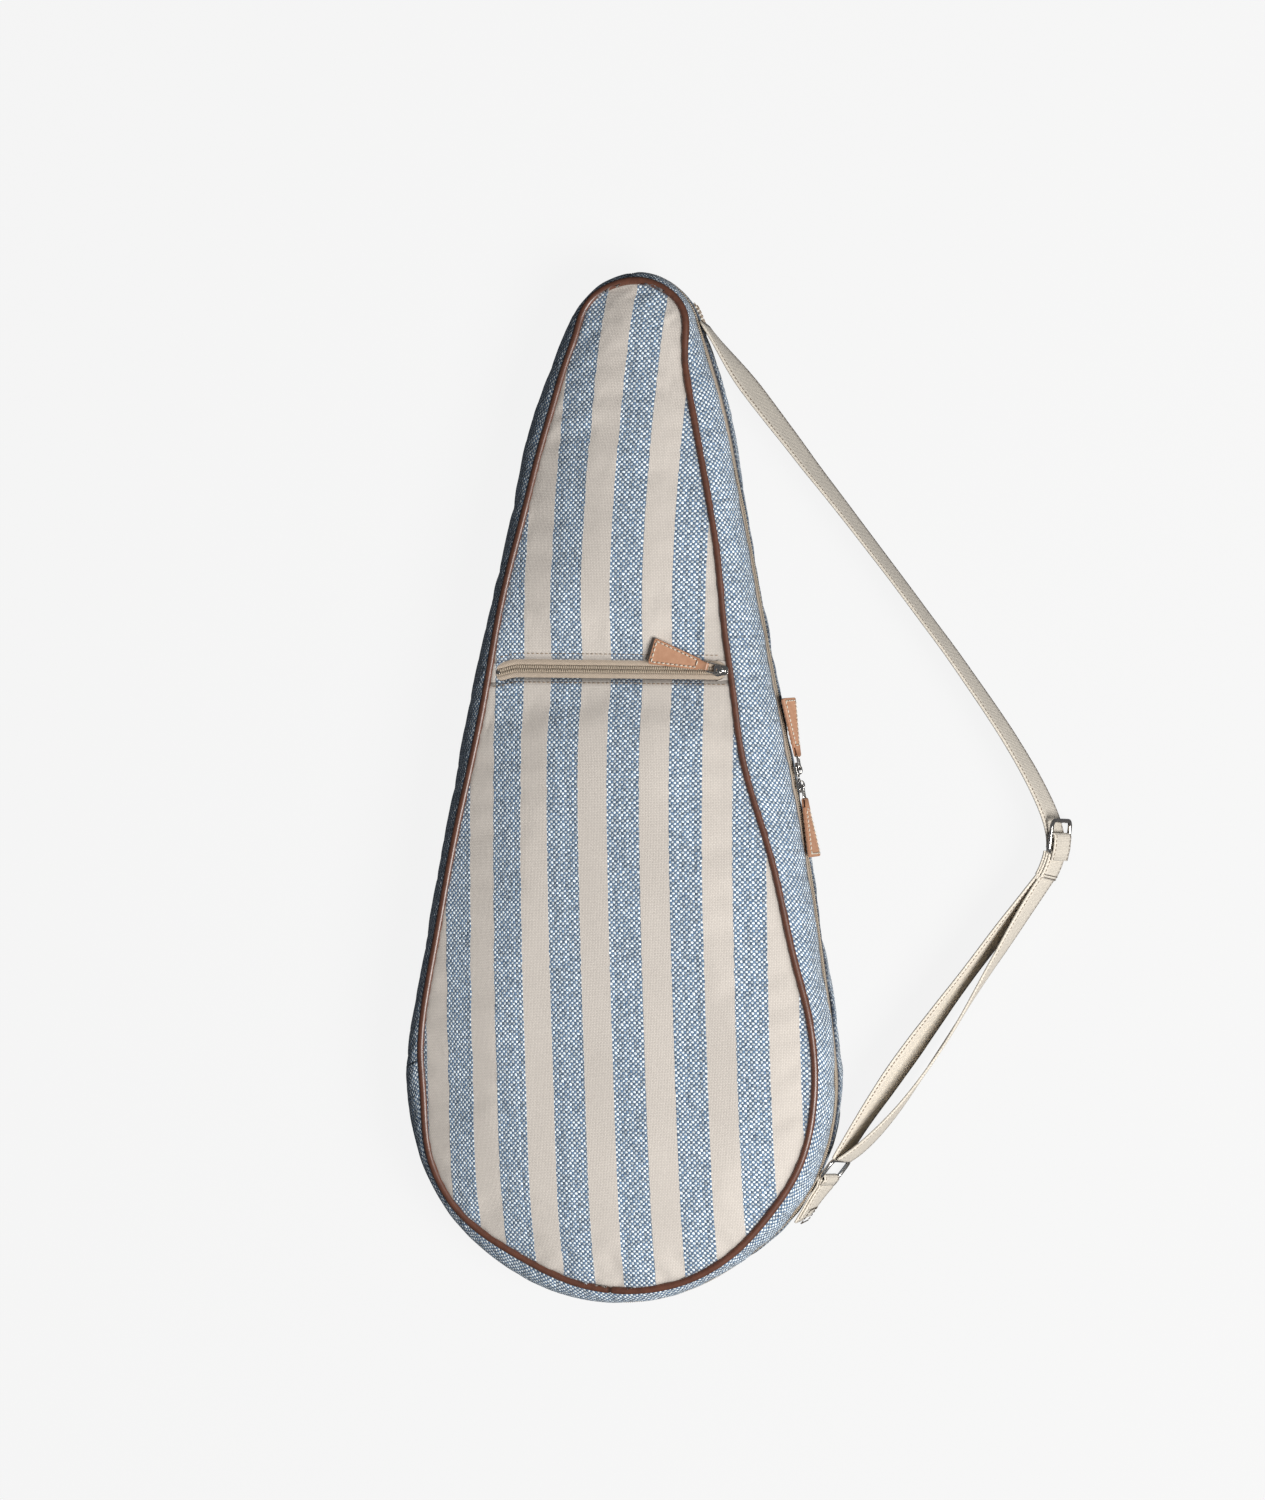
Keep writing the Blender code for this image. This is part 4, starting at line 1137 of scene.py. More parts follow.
def pouch_piece():
    """The pocket's bag: one cloth tray hung from the zip tape, behind the lower front."""
    low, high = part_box("pocket_pouch")
    y_low, y_high = low.y - BASE_Y, high.y - BASE_Y
    edge = inner_edge(FRONT_EDGE, 0.012)
    x, y = panel_grid(BACK_EDGE, 0.016, y_low, y_high, 54, 44, "none")
    x = x[:, ::-1]
    near, _ = nearest_edge(np.stack([x.ravel(), y.ravel()], axis=1), edge)
    near = np.minimum(np.maximum(0.0, near.reshape(x.shape) - 0.004), np.minimum(y - y_low, y_high - y))
    sag = 1 - np.exp(-near / 0.009)
    fold = rough(x, y * 0.4, 37, 0.03) * sag * 0.0006
    z = high.z - 0.0004 - (high.z - low.z - 0.0014) * sag + fold
    points = np.stack([x, y, z], axis=2)
    # Painted shade and soil: the bag darkens beside its sewn edge.
    piece = sheet_piece(
        "pocket_bag", points, np.stack([x, y], axis=2), {"shade_and_dirt": 0.6 * np.exp(-near / 0.0015)}, 0.0006
    )
    keep_modifiers(piece)
    dress(piece, lining_cloth(), "cover", "lining", "pocket_pouch")


# Zips


def coil_teeth(name, centres, tangents, outs, across, half, made, body, node):
    """One half of a zip: a bent tooth at each centre, in one mesh."""
    line = np.array([(0.05, 0.15), (0.30, 0.80), (0.75, 0.95), (1.0, 0.25)])
    line = line * (half, 0.0009)
    ring = 2 * pi * np.arange(5) / 5
    wide = 0.00046
    template = []
    for k, (a, c) in enumerate(line):
        for turn in ring:
            template.append(
                (cos(turn) * wide, a + sin(turn) * 0.00022 * (1 if k else 0.6), c + sin(turn) * 0.0003)
            )
    template = np.array(template)
    faces = grid_faces(4, 5, False, True)
    faces += [tuple(reversed(range(5))), tuple(range(15, 20))]
    points = (
        centres[:, None]
        + tangents[:, None] * template[None, :, :1]
        + across[:, None] * template[None, :, 1:2]
        + outs[:, None] * template[None, :, 2:3]
    )
    base = np.arange(len(centres)) * 20
    all_faces = [tuple(int(k + b) for k in face) for b in base for face in faces]
    uv = np.zeros((len(centres) * 20, 2))
    piece = new_piece(name, points, all_faces, uv)
    dress(piece, made, body, "zip_coil", node)


def along_run(first, last, pitch):
    """Places at an even pitch along the belly between two of its points: (centres, tangents, outs)."""
    rows = np.arange(first, last + 1)
    run = RUN[rows]
    places = np.arange(run[0] + pitch, run[-1] - pitch, pitch)
    flat = np.stack([np.interp(places, run, ZIP_LINE[rows, k]) for k in range(2)], axis=1)
    out = np.stack([np.interp(places, run, BELLY_OUT[rows, k]) for k in range(2)], axis=1)
    out /= np.linalg.norm(out, axis=1)[:, None]
    centres = np.column_stack([flat, np.full(len(flat), MIDDLE)])
    outs = np.column_stack([out, np.zeros(len(out))])
    tangents = np.column_stack([-out[:, 1], out[:, 0], np.zeros(len(out))])
    return centres, tangents, outs


def main_zip_half(sign, word, body):
    """Tape, teeth and end stops of one half of the main zip."""
    size = bpy.context.scene.cover_zips
    rows = np.arange(ZIP_FIRST, ZIP_LAST + 1)
    heights = np.array([0.0012, 0.0022, 0.0040, 0.0060, ZIP_HALF_OPENING + 0.0004])
    if sign < 0:
        heights = -heights[::-1]
    climbs = heights / MIDDLE
    lift = 0.0002 * np.cos(np.abs(heights) / ZIP_HALF_OPENING * pi)
    points = wall(rows, climbs[None], 0.0009, np.broadcast_to(lift, (len(rows), len(lift))))
    run = RUN[rows]
    uv = np.stack(np.broadcast_arrays(heights[None], run[:, None]), axis=2)
    # Painted shade and soil: the tape darkens towards the teeth, standing for the shadow beside them.
    shade_and_dirt = np.broadcast_to(np.exp(-(ZIP_HALF_OPENING - np.abs(heights)) / 0.0009)[None] * 0.9, uv.shape[:2])
    piece = sheet_piece(
        "main_zip_tape_cloth_" + word, points[:, ::-1], uv[:, ::-1], {"shade_and_dirt": shade_and_dirt[:, ::-1]}, 0.0007
    )
    keep_modifiers(piece)
    dress(piece, zip_tape_cloth(), body, "zip_tape", "main_zip_tape_" + word)
    centres, tangents, outs = along_run(ZIP_FIRST, ZIP_LAST, size.tooth_pitch)
    if sign < 0:
        centres = centres + tangents * size.tooth_pitch / 2
    across = np.broadcast_to(UP * sign, centres.shape)
    coil_teeth(
        "main_zip_teeth_" + word, centres - outs * 0.0008, tangents, outs, across, 0.0018,
        zip_teeth(), body, "main_zip_coil_" + word,
    )
    for row, place in ((ZIP_LAST - 4, "tip"), (ZIP_FIRST + 4, "head")):
        centre = np.array([*ZIP_LINE[row], MIDDLE + sign * 0.0012])
        out = np.array([*BELLY_OUT[row], 0.0])
        tangent = np.array([-out[1], out[0], 0.0])
        stop_piece(
            "main_zip_clamp_%s_%s" % (word, place), centre - out * 0.0004, tangent, UP * sign, out, body,
            "main_zip_stop_%s_%s" % (word, place),
        )


def stop_piece(name, centre, along, across, out, body, node):
    """A metal stop crimped over the last teeth."""
    turns = np.linspace(-0.2, 1.2, 9) * pi
    path = [centre + across * cos(t) * 0.0013 + out * sin(t) * 0.0009 for t in turns]
    band = []
    for shift in (-0.0012, 0.0012):
        band.append(np.array(path) + along * shift)
    points = np.stack([band[0], (band[0] + band[1]) / 2 + out * 0.0002, band[1]], axis=1)
    piece = new_piece(name, points, grid_faces(*points.shape[:2]), np.zeros(points.shape[:2] + (2,)))
    thicken(piece, 0.0005).offset = 0.0
    soften(piece, 0.00012)
    dress(piece, nickel(), body, "nickel", node)


def soften(piece, width, segments=2):
    """Rounds the piece's edges and evens its shading."""
    bevel = piece.modifiers.new("edges", "BEVEL")
    bevel.width = width
    bevel.segments = segments
    bevel.limit_method = "ANGLE"
    bevel.angle_limit = radians(35)
    even = piece.modifiers.new("shading", "WEIGHTED_NORMAL")
    even.keep_sharp = True
    keep_modifiers(piece)


def at_frame(place, a, b, c):
    origin, along, across, out = place
    a, b, c = np.broadcast_arrays(np.asarray(a, float), b, c)
    return origin + a[..., None] * along + b[..., None] * across + c[..., None] * out


def slab(place, outline_ab, low, high):
    """(points, faces, uv) of a plate over an outline in a local frame."""
    shape = np.asarray(outline_ab, float)
    count = len(shape)
    points = np.concatenate(
        [at_frame(place, shape[:, 0], shape[:, 1], low), at_frame(place, shape[:, 0], shape[:, 1], high)]
    )
    faces = [(k, (k + 1) % count, count + (k + 1) % count, count + k) for k in range(count)]
    faces += [tuple(reversed(range(count))), tuple(range(count, 2 * count))]
    return points, faces, np.concatenate([shape, shape])


def rounded(corners, radius, steps=4):
    """A closed outline through corners, each cut to a round of the radius."""
    corners = np.asarray(corners, float)
    count = len(corners)
    made = []
    for k in range(count):
        before, at, after = corners[k - 1], corners[k], corners[(k + 1) % count]
        a = before - at
        b = after - at
        reach = min(
            radius[k] if hasattr(radius, "__len__") else radius,
            0.45 * np.linalg.norm(a), 0.45 * np.linalg.norm(b)
        )
        a = at + a / np.linalg.norm(a) * reach
        b = at + b / np.linalg.norm(b) * reach
        for t in np.linspace(0, 1, steps + 1):
            made.append(a * (1 - t) ** 2 + 2 * at * t * (1 - t) + b * t * t)
    return np.array(made)


def slider_piece(name, place, body, node):
    """Slider: shield-shaped plate with turned-down sides, and the bridge that holds the pull ring."""
    half = SLIDER_LENGTH / 2
    wide = SLIDER_WIDTH / 2
    low = 0.0004
    top = low + SLIDER_THICKNESS
    shield = rounded(
        [(-half, -wide * 0.62), (half * 0.55, -wide), (half, -wide * 0.66), (half, wide * 0.66),
         (half * 0.55, wide), (-half, wide * 0.62)], 0.0016,
    )
    parts = [slab(place, shield, low + 0.0006, top)]
    for side in (-1, 1):
        flange = [
            (-half * 0.75, side * wide * 0.60), (half * 0.5, side * wide * 0.94),
            (half * 0.5, side * wide * 0.78), (-half * 0.75, side * wide * 0.46),
        ]
        parts.append(slab(place, flange if side < 0 else flange[::-1], low - 0.0008, low + 0.0008))
    rise = LOOP_RISE + 0.0002
    turns = np.linspace(0, pi, 13)
    arch = at_frame(place, -np.cos(turns) * 0.0031, 0.0 * turns, top - 0.0003 + np.sin(turns) ** 0.6 * rise)
    points, faces, uv = tube(arch, 0.00055, 10, squeeze=1.0)
    _, _, across, _ = place
    middle = np.repeat(arch, 10, axis=0)
    spread = (points - middle) @ across
    points = points + spread[:, None] * across * 1.3
    parts.append((points, faces, uv))
    points, faces, uv = gather(parts)
    piece = new_piece(name, points, faces, uv)
    soften(piece, 0.00025)
    dress(piece, nickel(), body, "nickel", node)


def wire_ring(centre, along, across, length, width, wire, corner, sides=12):
    """(points, faces, uv) of a closed ring of wire with rounded corners."""
    half_a = length / 2 - wire / 2 - corner
    half_b = width / 2 - wire / 2 - corner
    path = []
    for sign_a, sign_b, start in ((1, 1, 0), (-1, 1, 90), (-1, -1, 180), (1, -1, 270)):
        for k in range(7):
            turn = radians(start + 90 * k / 6)
            a = sign_a * half_a + cos(turn) * corner
            b = sign_b * half_b + sin(turn) * corner
            path.append(centre + along * a + across * b)
    path = np.array(path)
    normal = np.cross(along, across)
    spot = np.roll(path, -1, axis=0) - np.roll(path, 1, axis=0)
    spot /= np.linalg.norm(spot, axis=1)[:, None]
    side = np.cross(spot, normal)
    turns = 2 * pi * np.arange(sides) / sides
    points = path[:, None] + (
        side[:, None] * np.cos(turns)[None, :, None] + normal[None, None] * np.sin(turns)[None, :, None]
    ) * wire / 2
    faces = grid_faces(len(path), sides, True, True)
    uv = np.zeros((len(path) * sides, 2))
    return points.reshape(-1, 3), faces, uv


def pull_pieces(prefix, frame_place, tilt, roll, swing, body, ring_node, puller_node):
    """Ring and stitched leather puller on a slider's bridge."""
    origin, along, across, out = frame_place
    height = 0.0006 + SLIDER_THICKNESS + (LOOP_RISE - LOOP_WALL) / 2 + RING_WIRE * 0.15
    pivot = origin + out * height
    turned = along * cos(tilt) + across * sin(tilt)
    side = across * cos(tilt) - along * sin(tilt)
    turned, out = turned * cos(swing) + out * sin(swing), out * cos(swing) - turned * sin(swing)
    centre = pivot + turned * (RING_LENGTH - RING_WIRE) / 2
    ring = new_piece(
        prefix + "_pull_ring",
        *wire_ring(centre, turned, side, RING_LENGTH, RING_WIDTH, RING_WIRE, 0.0026),
    )
    dress(ring, nickel(), body, "nickel", ring_node)
    side, out = side * cos(roll) + out * sin(roll), out * cos(roll) - side * sin(roll)
    place = (pivot, turned, side, out)
    bar = RING_LENGTH - RING_WIRE
    start = bar + 0.0050
    end = bar + GAP * 2 + PULLER_LENGTH + 0.0002
    narrow, wide = PULLER_NARROW / 2, PULLER_WIDE / 2
    shape = rounded(
        [
            (start, -narrow), (end - 0.0008, -wide), (end, -wide * 0.86),
            (end, wide * 0.86), (end - 0.0008, wide), (start, narrow)
        ],
        [0.0008, 0.002, 0.002, 0.002, 0.002, 0.0008], 3,
    )
    low, high = -PULLER_THICKNESS * 0.6, PULLER_THICKNESS * 0.4
    points, faces, uv = slab(place, shape, low, high)
    inner = shape.mean(axis=0) + (shape - shape.mean(axis=0)) * (0.93, 0.84)
    count = len(shape)
    faces = faces[:-2]
    extra = []
    for level, lift in ((low, -1), (high, 1)):
        for ring_shape, bulge in (
            (inner, 0.00004), (shape.mean(axis=0) + (inner - shape.mean(axis=0)) * 0.5, 0.00012)
        ):
            extra.append(at_frame(place, ring_shape[:, 0], ring_shape[:, 1], level + lift * bulge))
            uv = np.concatenate([uv, ring_shape])
    points = np.concatenate([points] + extra)
    for rim, first, flip in ((0, 2, True), (1, 4, False)):
        for a, b in ((rim, first), (first, first + 1)):
            for k in range(count):
                m = (k + 1) % count
                face = (a * count + k, a * count + m, b * count + m, b * count + k)
                faces.append(face[::-1] if flip else face)
        cap = tuple(range((first + 1) * count, (first + 2) * count))
        faces.append(cap[::-1] if flip else cap)
    rim_mark = np.concatenate([np.full(2 * count, 0.8), *[np.full(count, v) for v in (0.15, 0.0, 0.15, 0.0)]])
    tag = new_piece(prefix + "_puller_leather", points, faces, uv, {"rim": rim_mark})
    soften(tag, 0.00045)
    dress(tag, puller_leather(), body, "tan_leather", puller_node)
    neck = []
    for t in np.linspace(-pi / 2, pi / 2, 9):
        neck.append((bar - cos(t) * 0.00125, sin(t) * 0.00125))
    neck = [(start + 0.0022, low * 0.9), (start - 0.001, low * 0.95)] + neck + [
        (start - 0.001, high * 1.2), (start + 0.0022, high * 1.3)
    ]
    neck = np.array(neck)
    wide_at = np.interp(neck[:, 0], [bar - 0.0013, start + 0.003], [narrow * 0.62, narrow * 0.92])
    across_steps = np.linspace(-1, 1, 5)
    grid = at_frame(place, neck[:, :1], wide_at[:, None] * across_steps[None], neck[:, 1:])
    # Painted shade: the neck darkens where it folds round the ring's bar.
    shade_and_dirt = 0.35 * np.exp(-((neck[:, 0] - bar) / 0.0015) ** 2)[:, None] * np.ones(5)
    rim = np.broadcast_to(np.abs(across_steps) ** 4, grid.shape[:2])
    fold = new_piece(
        prefix + "_puller_neck", grid, grid_faces(*grid.shape[:2]),
        np.stack(np.broadcast_arrays(neck[:, :1], across_steps[None] * narrow), axis=2),
        {"shade_and_dirt": shade_and_dirt, "rim": 0.4 + 0.6 * rim},
    )
    thicken(fold, 0.0009).offset = 0.0
    soften(fold, 0.0002)
    dress(fold, puller_leather(), body, "tan_leather")
    seam = np.array(
        [(start + 0.0016, -narrow * 0.62), (end - 0.0022, -wide * 0.80), (end - 0.0022, wide * 0.80),
         (start + 0.0016, narrow * 0.62), (start + 0.0016, -narrow * 0.62)]
    )
    rows = []
    for a, b in zip(seam[:-1], seam[1:]):
        steps = np.linspace(0, 1, 12)[:, None]
        line = a + (b - a) * steps
        for level, facing in ((high + 0.00012, 1), (low - 0.00012, -1)):
            path = at_frame(place, line[:, 0], line[:, 1], level)
            rows.append(stitches(path, out * facing, 0.0021, 0.0011, 0.00105))
    points, faces, uv = gather(rows)
    sewn = new_piece(prefix + "_puller_stitches", points, faces, uv)
    dress(sewn, thread("Cream thread", bpy.context.scene.cover_leather.thread_colour), body, "tan_leather")


def main_slider_place(sign):
    turn = np.arcsin((SLIDERS_MEET_Y - FLANK_CENTRE[1]) / FLANK_RADIUS)
    at = turn + sign * (SLIDER_LENGTH / 2 + GAP) / FLANK_RADIUS
    flat = FLANK_CENTRE + FLANK_RADIUS * direction(at)
    out = np.array([cos(at), sin(at), 0.0])
    along = np.array([-sin(at), cos(at), 0.0]) * sign
    return (np.array([*flat, MIDDLE]), along, UP, out)


def pocket_slider_place():
    reach = width_at(BACK_EDGE, POCKET_ZIP_Y, True) - PIPING_RADIUS - GAP
    top = float(edge_height(POCKET_ZIP_Y)) - FRONT_DROP
    return (
        np.array([reach - POCKET_SLIDER_EDGE, POCKET_ZIP_Y, top]),
        np.array([-1.0, 0.0, 0.0]),
        np.array([0.0, 1.0, 0.0]),
        UP,
    )


def slot_ends():
    """x of the left and right ends of the pocket's slot in the canvas."""
    left = float(width_at(FRONT_EDGE, POCKET_ZIP_Y, False)) + PIPING_RADIUS + 0.0026
    right = float(width_at(FRONT_EDGE, POCKET_ZIP_Y, True)) - PIPING_RADIUS - 0.0016
    return left, right


def slot_end_canvas():
    """The canvas that closes the slot at both ends, cut round to the zip."""
    left, right = slot_ends()
    share = np.sin(np.linspace(-pi / 2, pi / 2, 25))
    parts, marks = [], []
    for end, sign in ((left, -1), (right, 1)):
        y = POCKET_ZIP_Y + share * (POCKET_HALF_OPENING + 0.0003)
        arc = end - sign * POCKET_HALF_OPENING * (1 - np.sqrt(np.maximum(0.0, 1 - share**2)))
        rim = width_at(inner_edge(FRONT_EDGE, PIPING_RADIUS * 0.55), y, sign > 0)
        steps = np.linspace(0, 1, 7)
        x = arc[:, None] + (rim - arc)[:, None] * steps[None]
        y = np.broadcast_to(y[:, None], x.shape) + zip_sag(x)
        points, inside = front_points(x, y)
        points[..., 2] += 0.00015 - 0.0005 * (1 - steps)[None] ** 6
        if sign < 0:
            points, x, y, inside = points[:, ::-1], x[:, ::-1], y[:, ::-1], inside[:, ::-1]
            steps = steps[::-1]
        parts.append((points, grid_faces(*x.shape), cloth_uv(x, y)))
        # Painted shade and soil: the canvas darkens beside the piping and where it turns down to the zip.
        shade_and_dirt = 0.85 * np.exp(-inside / 0.0011) + 0.7 * np.broadcast_to(np.exp(-steps / 0.12)[None], x.shape)
        marks.append(np.minimum(1.0, shade_and_dirt).ravel())
    points, faces, uv = gather(parts)
    piece = new_piece("front_canvas_slot_ends", points, faces, uv, {"shade_and_dirt": np.concatenate(marks)})
    thicken(piece, 0.0007)
    keep_modifiers(piece)
    dress(piece, striped_canvas(), "cover", "striped_canvas")


def pocket_zip_piece():
    """Tape, two rows of teeth, end stops and the topstitching round the opening."""
    size = bpy.context.scene.cover_zips
    top = float(edge_height(POCKET_ZIP_Y)) - FRONT_DROP
    left, right = slot_ends()
    half = POCKET_HALF_OPENING + 0.0004
    x = np.linspace(left - 0.0011, right + 0.0008, 90)
    share = np.linspace(-1, 1, 45)
    apart = np.abs(share)
    y = POCKET_ZIP_Y + zip_sag(x)[:, None] + half * share[None]
    dome = 0.0005 * np.exp(-(((apart - 0.62) / 0.22) ** 2)) - 0.0003 * np.exp(-(((apart - 0.40) / 0.06) ** 2))
    z = top - 0.0013 + dome[None] + 0.0 * y
    xs = np.broadcast_to(x[:, None], y.shape)
    points = np.stack([xs, y, z], axis=2)[::-1]
    uv = np.stack([y, xs], axis=2)[::-1]
    # Painted shade and soil: dark lines at the tape's edges, just outside each row of teeth and where the
    # rows meet, standing for the shadows of the coils and of the slot's edges.
    shade_and_dirt = 0.95 * np.exp(-(1 - apart) / 0.05) + 0.75 * np.exp(-(((apart - 0.40) / 0.045) ** 2)) + np.exp(
        -apart / 0.07
    )
    shade_and_dirt = np.broadcast_to(np.minimum(1.0, shade_and_dirt), y.shape)
    piece = sheet_piece("pocket_zip_tape", points[:, ::-1], uv[:, ::-1], {"shade_and_dirt": shade_and_dirt}, 0.0007)
    keep_modifiers(piece)
    dress(piece, zip_tape_cloth(), "cover", "zip_tape", "pocket_zip_tape_upper", "pocket_zip_tape_lower")
    places = np.arange(left + 0.0016, right - 0.0016, size.tooth_pitch)
    for sign, word in ((1, "upper"), (-1, "lower")):
        at = places + (0.0 if sign > 0 else size.tooth_pitch / 2)
        centres = np.column_stack([at, POCKET_ZIP_Y + zip_sag(at), np.full(len(at), top - 0.0009)])
        tangents = np.broadcast_to(np.array([1.0, 0.0, 0.0]), centres.shape)
        outs = np.broadcast_to(UP, centres.shape)
        across = np.broadcast_to(np.array([0.0, float(sign), 0.0]), centres.shape)
        coil_teeth(
            "pocket_zip_teeth_" + word, centres, tangents, outs, across, 0.0023,
            zip_teeth(), "cover", "pocket_zip_coil_" + word,
        )
    for sign, word, at in ((-1, "left", left + 0.0018), (1, "right", right - 0.0018)):
        centre = np.array([at, POCKET_ZIP_Y + float(zip_sag(at)), top - 0.0004])
        stop_piece(
            "pocket_zip_clamp_" + word, centre, np.array([1.0, 0, 0]), np.array([0, 1.0, 0]), UP, "cover",
            "pocket_zip_stop_" + word,
        )
    rows = []
    for offset, ends in ((0.0107, 0.004), (-0.0098, 0.002)):
        line_y = POCKET_ZIP_Y + offset
        lo = float(width_at(FRONT_EDGE, line_y, False)) + PIPING_RADIUS + ends
        hi = float(width_at(FRONT_EDGE, line_y, True)) - PIPING_RADIUS - ends
        xs = np.linspace(lo, hi, 60)
        ys = line_y + zip_sag(xs)
        points, _ = front_points(xs[:, None], ys[:, None])
        rows.append(stitches(points[:, 0] + UP * 0.0001, UP, 0.0021, 0.0012, 0.00055))
    points, faces, uv = gather(rows)
    sewn = new_piece("pocket_topstitching", points, faces, uv)
    dress(sewn, thread("Tan thread", size.topstitch_colour), "cover", "zip_tape")


# Shoulder strap


def ribbon(path, headings, lean, width, thickness, shift=0.0, wave=0.0003, seed=41):
    """(points, faces, uv, crease) of webbing that stands on edge along a path in plan, leaning."""
    path = np.asarray(path, float)
    run = np.concatenate([[0], np.cumsum(np.linalg.norm(np.diff(path, axis=0), axis=1))])
    side = np.stack([-headings[:, 1], headings[:, 0], np.zeros(len(path))], axis=1)
    lean = np.broadcast_to(np.asarray(lean, float), (len(path),))
    stand = UP[None] * np.cos(lean)[:, None] - side * np.sin(lean)[:, None]
    face = np.cross(np.column_stack([headings, np.zeros(len(path))]), stand)
    centre = np.column_stack([path, np.full(len(path), WEBBING_MIDDLE)]) + face * shift
    t, h = thickness / 2, width / 2
    profile = [
        (-h + t * 0.6, -t), (-h * 0.55, -t * 0.9), (0, -t * 0.95), (h * 0.55, -t * 0.9), (h - t * 0.6, -t)
    ]
    profile += [(h - t * 0.1, -t * 0.5), (h, 0), (h - t * 0.1, t * 0.5)]
    profile += [(a, -c) for a, c in reversed(profile[:5])]
    profile += [(-h + t * 0.1, t * 0.5), (-h, 0), (-h + t * 0.1, -t * 0.5)]
    profile = np.array(profile)
    count = len(profile)
    bend = rough(run[:, None], profile[None, :, 0] * 0.5, seed, 0.03) * wave
    cup = 0.0005 * (profile[:, 0] / h) ** 2
    points = (
        centre[:, None]
        + stand[:, None] * profile[None, :, :1]
        + face[:, None] * (profile[None, :, 1:] + cup[None, :, None] + bend[..., None])
    )
    uv = np.stack(np.broadcast_arrays(profile[None, :, 0], run[:, None]), axis=2)
    faces = [tuple(reversed(f)) for f in grid_faces(len(path), count, False, True)]
    faces += [tuple(range(count)), tuple((len(path) - 1) * count + k for k in reversed(range(count)))]
    return points.reshape(-1, 3), faces, uv.reshape(-1, 2), centre, stand, face


def strap_points():
    """The fixed points of the strap in plan, as in the part."""
    out = direction(FLANK_TOP_TURN)
    tip = FLANK_CENTRE + FLANK_RADIUS * out
    down = np.array([out[1], -out[0]])
    start = tip + out * (2 * GAP + WEBBING_THICKNESS / 2) + down * 0.0015
    heading = direction(LOOP_HEADING)
    ring = direction(RING_BEARING) * (HEAD_RADIUS + STRAP_RING_STANDOFF)
    return start, heading, ring


def webbing_piece(name, path, headings, lean, thickness, body, node, shift=0.0, seed=41):
    points, faces, uv, centre, _, _ = ribbon(path, headings, lean, WEBBING_WIDTH, thickness, shift, seed=seed)
    piece = new_piece(name, points, faces, uv)
    if node:
        dress(piece, cotton_webbing(), body, "cotton_webbing", node)
    else:
        dress(piece, cotton_webbing(), body, "cotton_webbing")
    return piece, centre


def upper_strap():
    start, _, _ = strap_points()
    into = direction(BUCKLE_HEADING)
    buckle = np.array(BUCKLE_AT)
    end = buckle + into * BUCKLE_LENGTH * 0.30
    path, headings = bezier(
        start, start + direction(ANCHOR_HEADING) * ANCHOR_PULL,
        buckle + into * (BUCKLE_LENGTH / 2 - 0.060), end, 110
    )
    share = np.linspace(0, 1, len(path))
    at_anchor = 1 - smooth(share / 0.12)
    past_anchor = (1 - smooth(share / 0.45)) * smooth(share / 0.14)
    lean = radians(7) + radians(13) * past_anchor - radians(9) * at_anchor
    lean = lean + radians(6) * smooth((share - 0.5) / 0.5)
    piece, centre = webbing_piece(
        "strap_upper_webbing", path, headings, lean, WEBBING_THICKNESS, None, "strap_upper"
    )
    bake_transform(piece)
    length = float(np.linalg.norm(np.diff(centre, axis=0), axis=1).sum())
    return piece, centre + (0, BASE_Y, 0), length


def buckle_pieces():
    """Three-bar buckle: rounded frame, centre bar, and the webbing that wraps the bar."""
    into2 = direction(BUCKLE_HEADING)
    into = np.array([*into2, 0.0])
    side = np.array([-into2[1], into2[0], 0.0])
    lean = radians(12)
    stand = UP * cos(lean) - side * sin(lean)
    face = np.cross(into, stand)
    width = WEBBING_WIDTH + 2 * STRAP_WIRE + 0.0015
    centre = np.array([*BUCKLE_AT, WEBBING_MIDDLE]) + side * 0.0018
    frame_ring = new_piece(
        "buckle_frame", *wire_ring(centre, into, stand, BUCKLE_LENGTH, width, STRAP_WIRE, 0.0045, 14)
    )
    dress(frame_ring, nickel(), "strap", "nickel", "strap_buckle_frame")
    half = width / 2 - STRAP_WIRE / 2
    steps = np.linspace(-half - 0.0012, half + 0.0012, 15)
    radius = np.interp(
        np.abs(steps), [0, half - 0.002, half, half + 0.0012], [0.00125, 0.00135, 0.0021, 0.0016]
    )
    points, faces, uv = tube(centre + stand * steps[:, None], radius, 12)
    bar = new_piece("buckle_centre_bar", points, faces, uv)
    dress(bar, nickel(), "strap", "nickel", "strap_buckle_bar")
    wrap = []
    for turn in np.linspace(-0.5 * pi, 0.5 * pi, 9):
        wrap.append((-cos(turn) * 0.0024, sin(turn) * 0.0024))
    wrap = np.array([(0.0165, -0.0016), (0.008, -0.0026), *wrap, (0.008, 0.0026), (0.0165, 0.0016)])
    across = np.linspace(-1, 1, 12) * WEBBING_WIDTH / 2
    grid = (
        centre + wrap[:, None, :1] * into + across[None, :, None] * stand * 0.98 + wrap[:, None, 1:] * face
    )
    run = np.concatenate([[0], np.cumsum(np.linalg.norm(np.diff(wrap, axis=0), axis=1))])
    uv = np.stack(np.broadcast_arrays(across[None], run[:, None]), axis=2)
    loop = new_piece("buckle_webbing_loop", grid, grid_faces(*grid.shape[:2]), uv)
    thicken(loop, 0.0013).offset = 0.0
    keep_modifiers(loop)
    dress(loop, cotton_webbing(), "strap", "cotton_webbing")
    return frame_ring, bar, loop


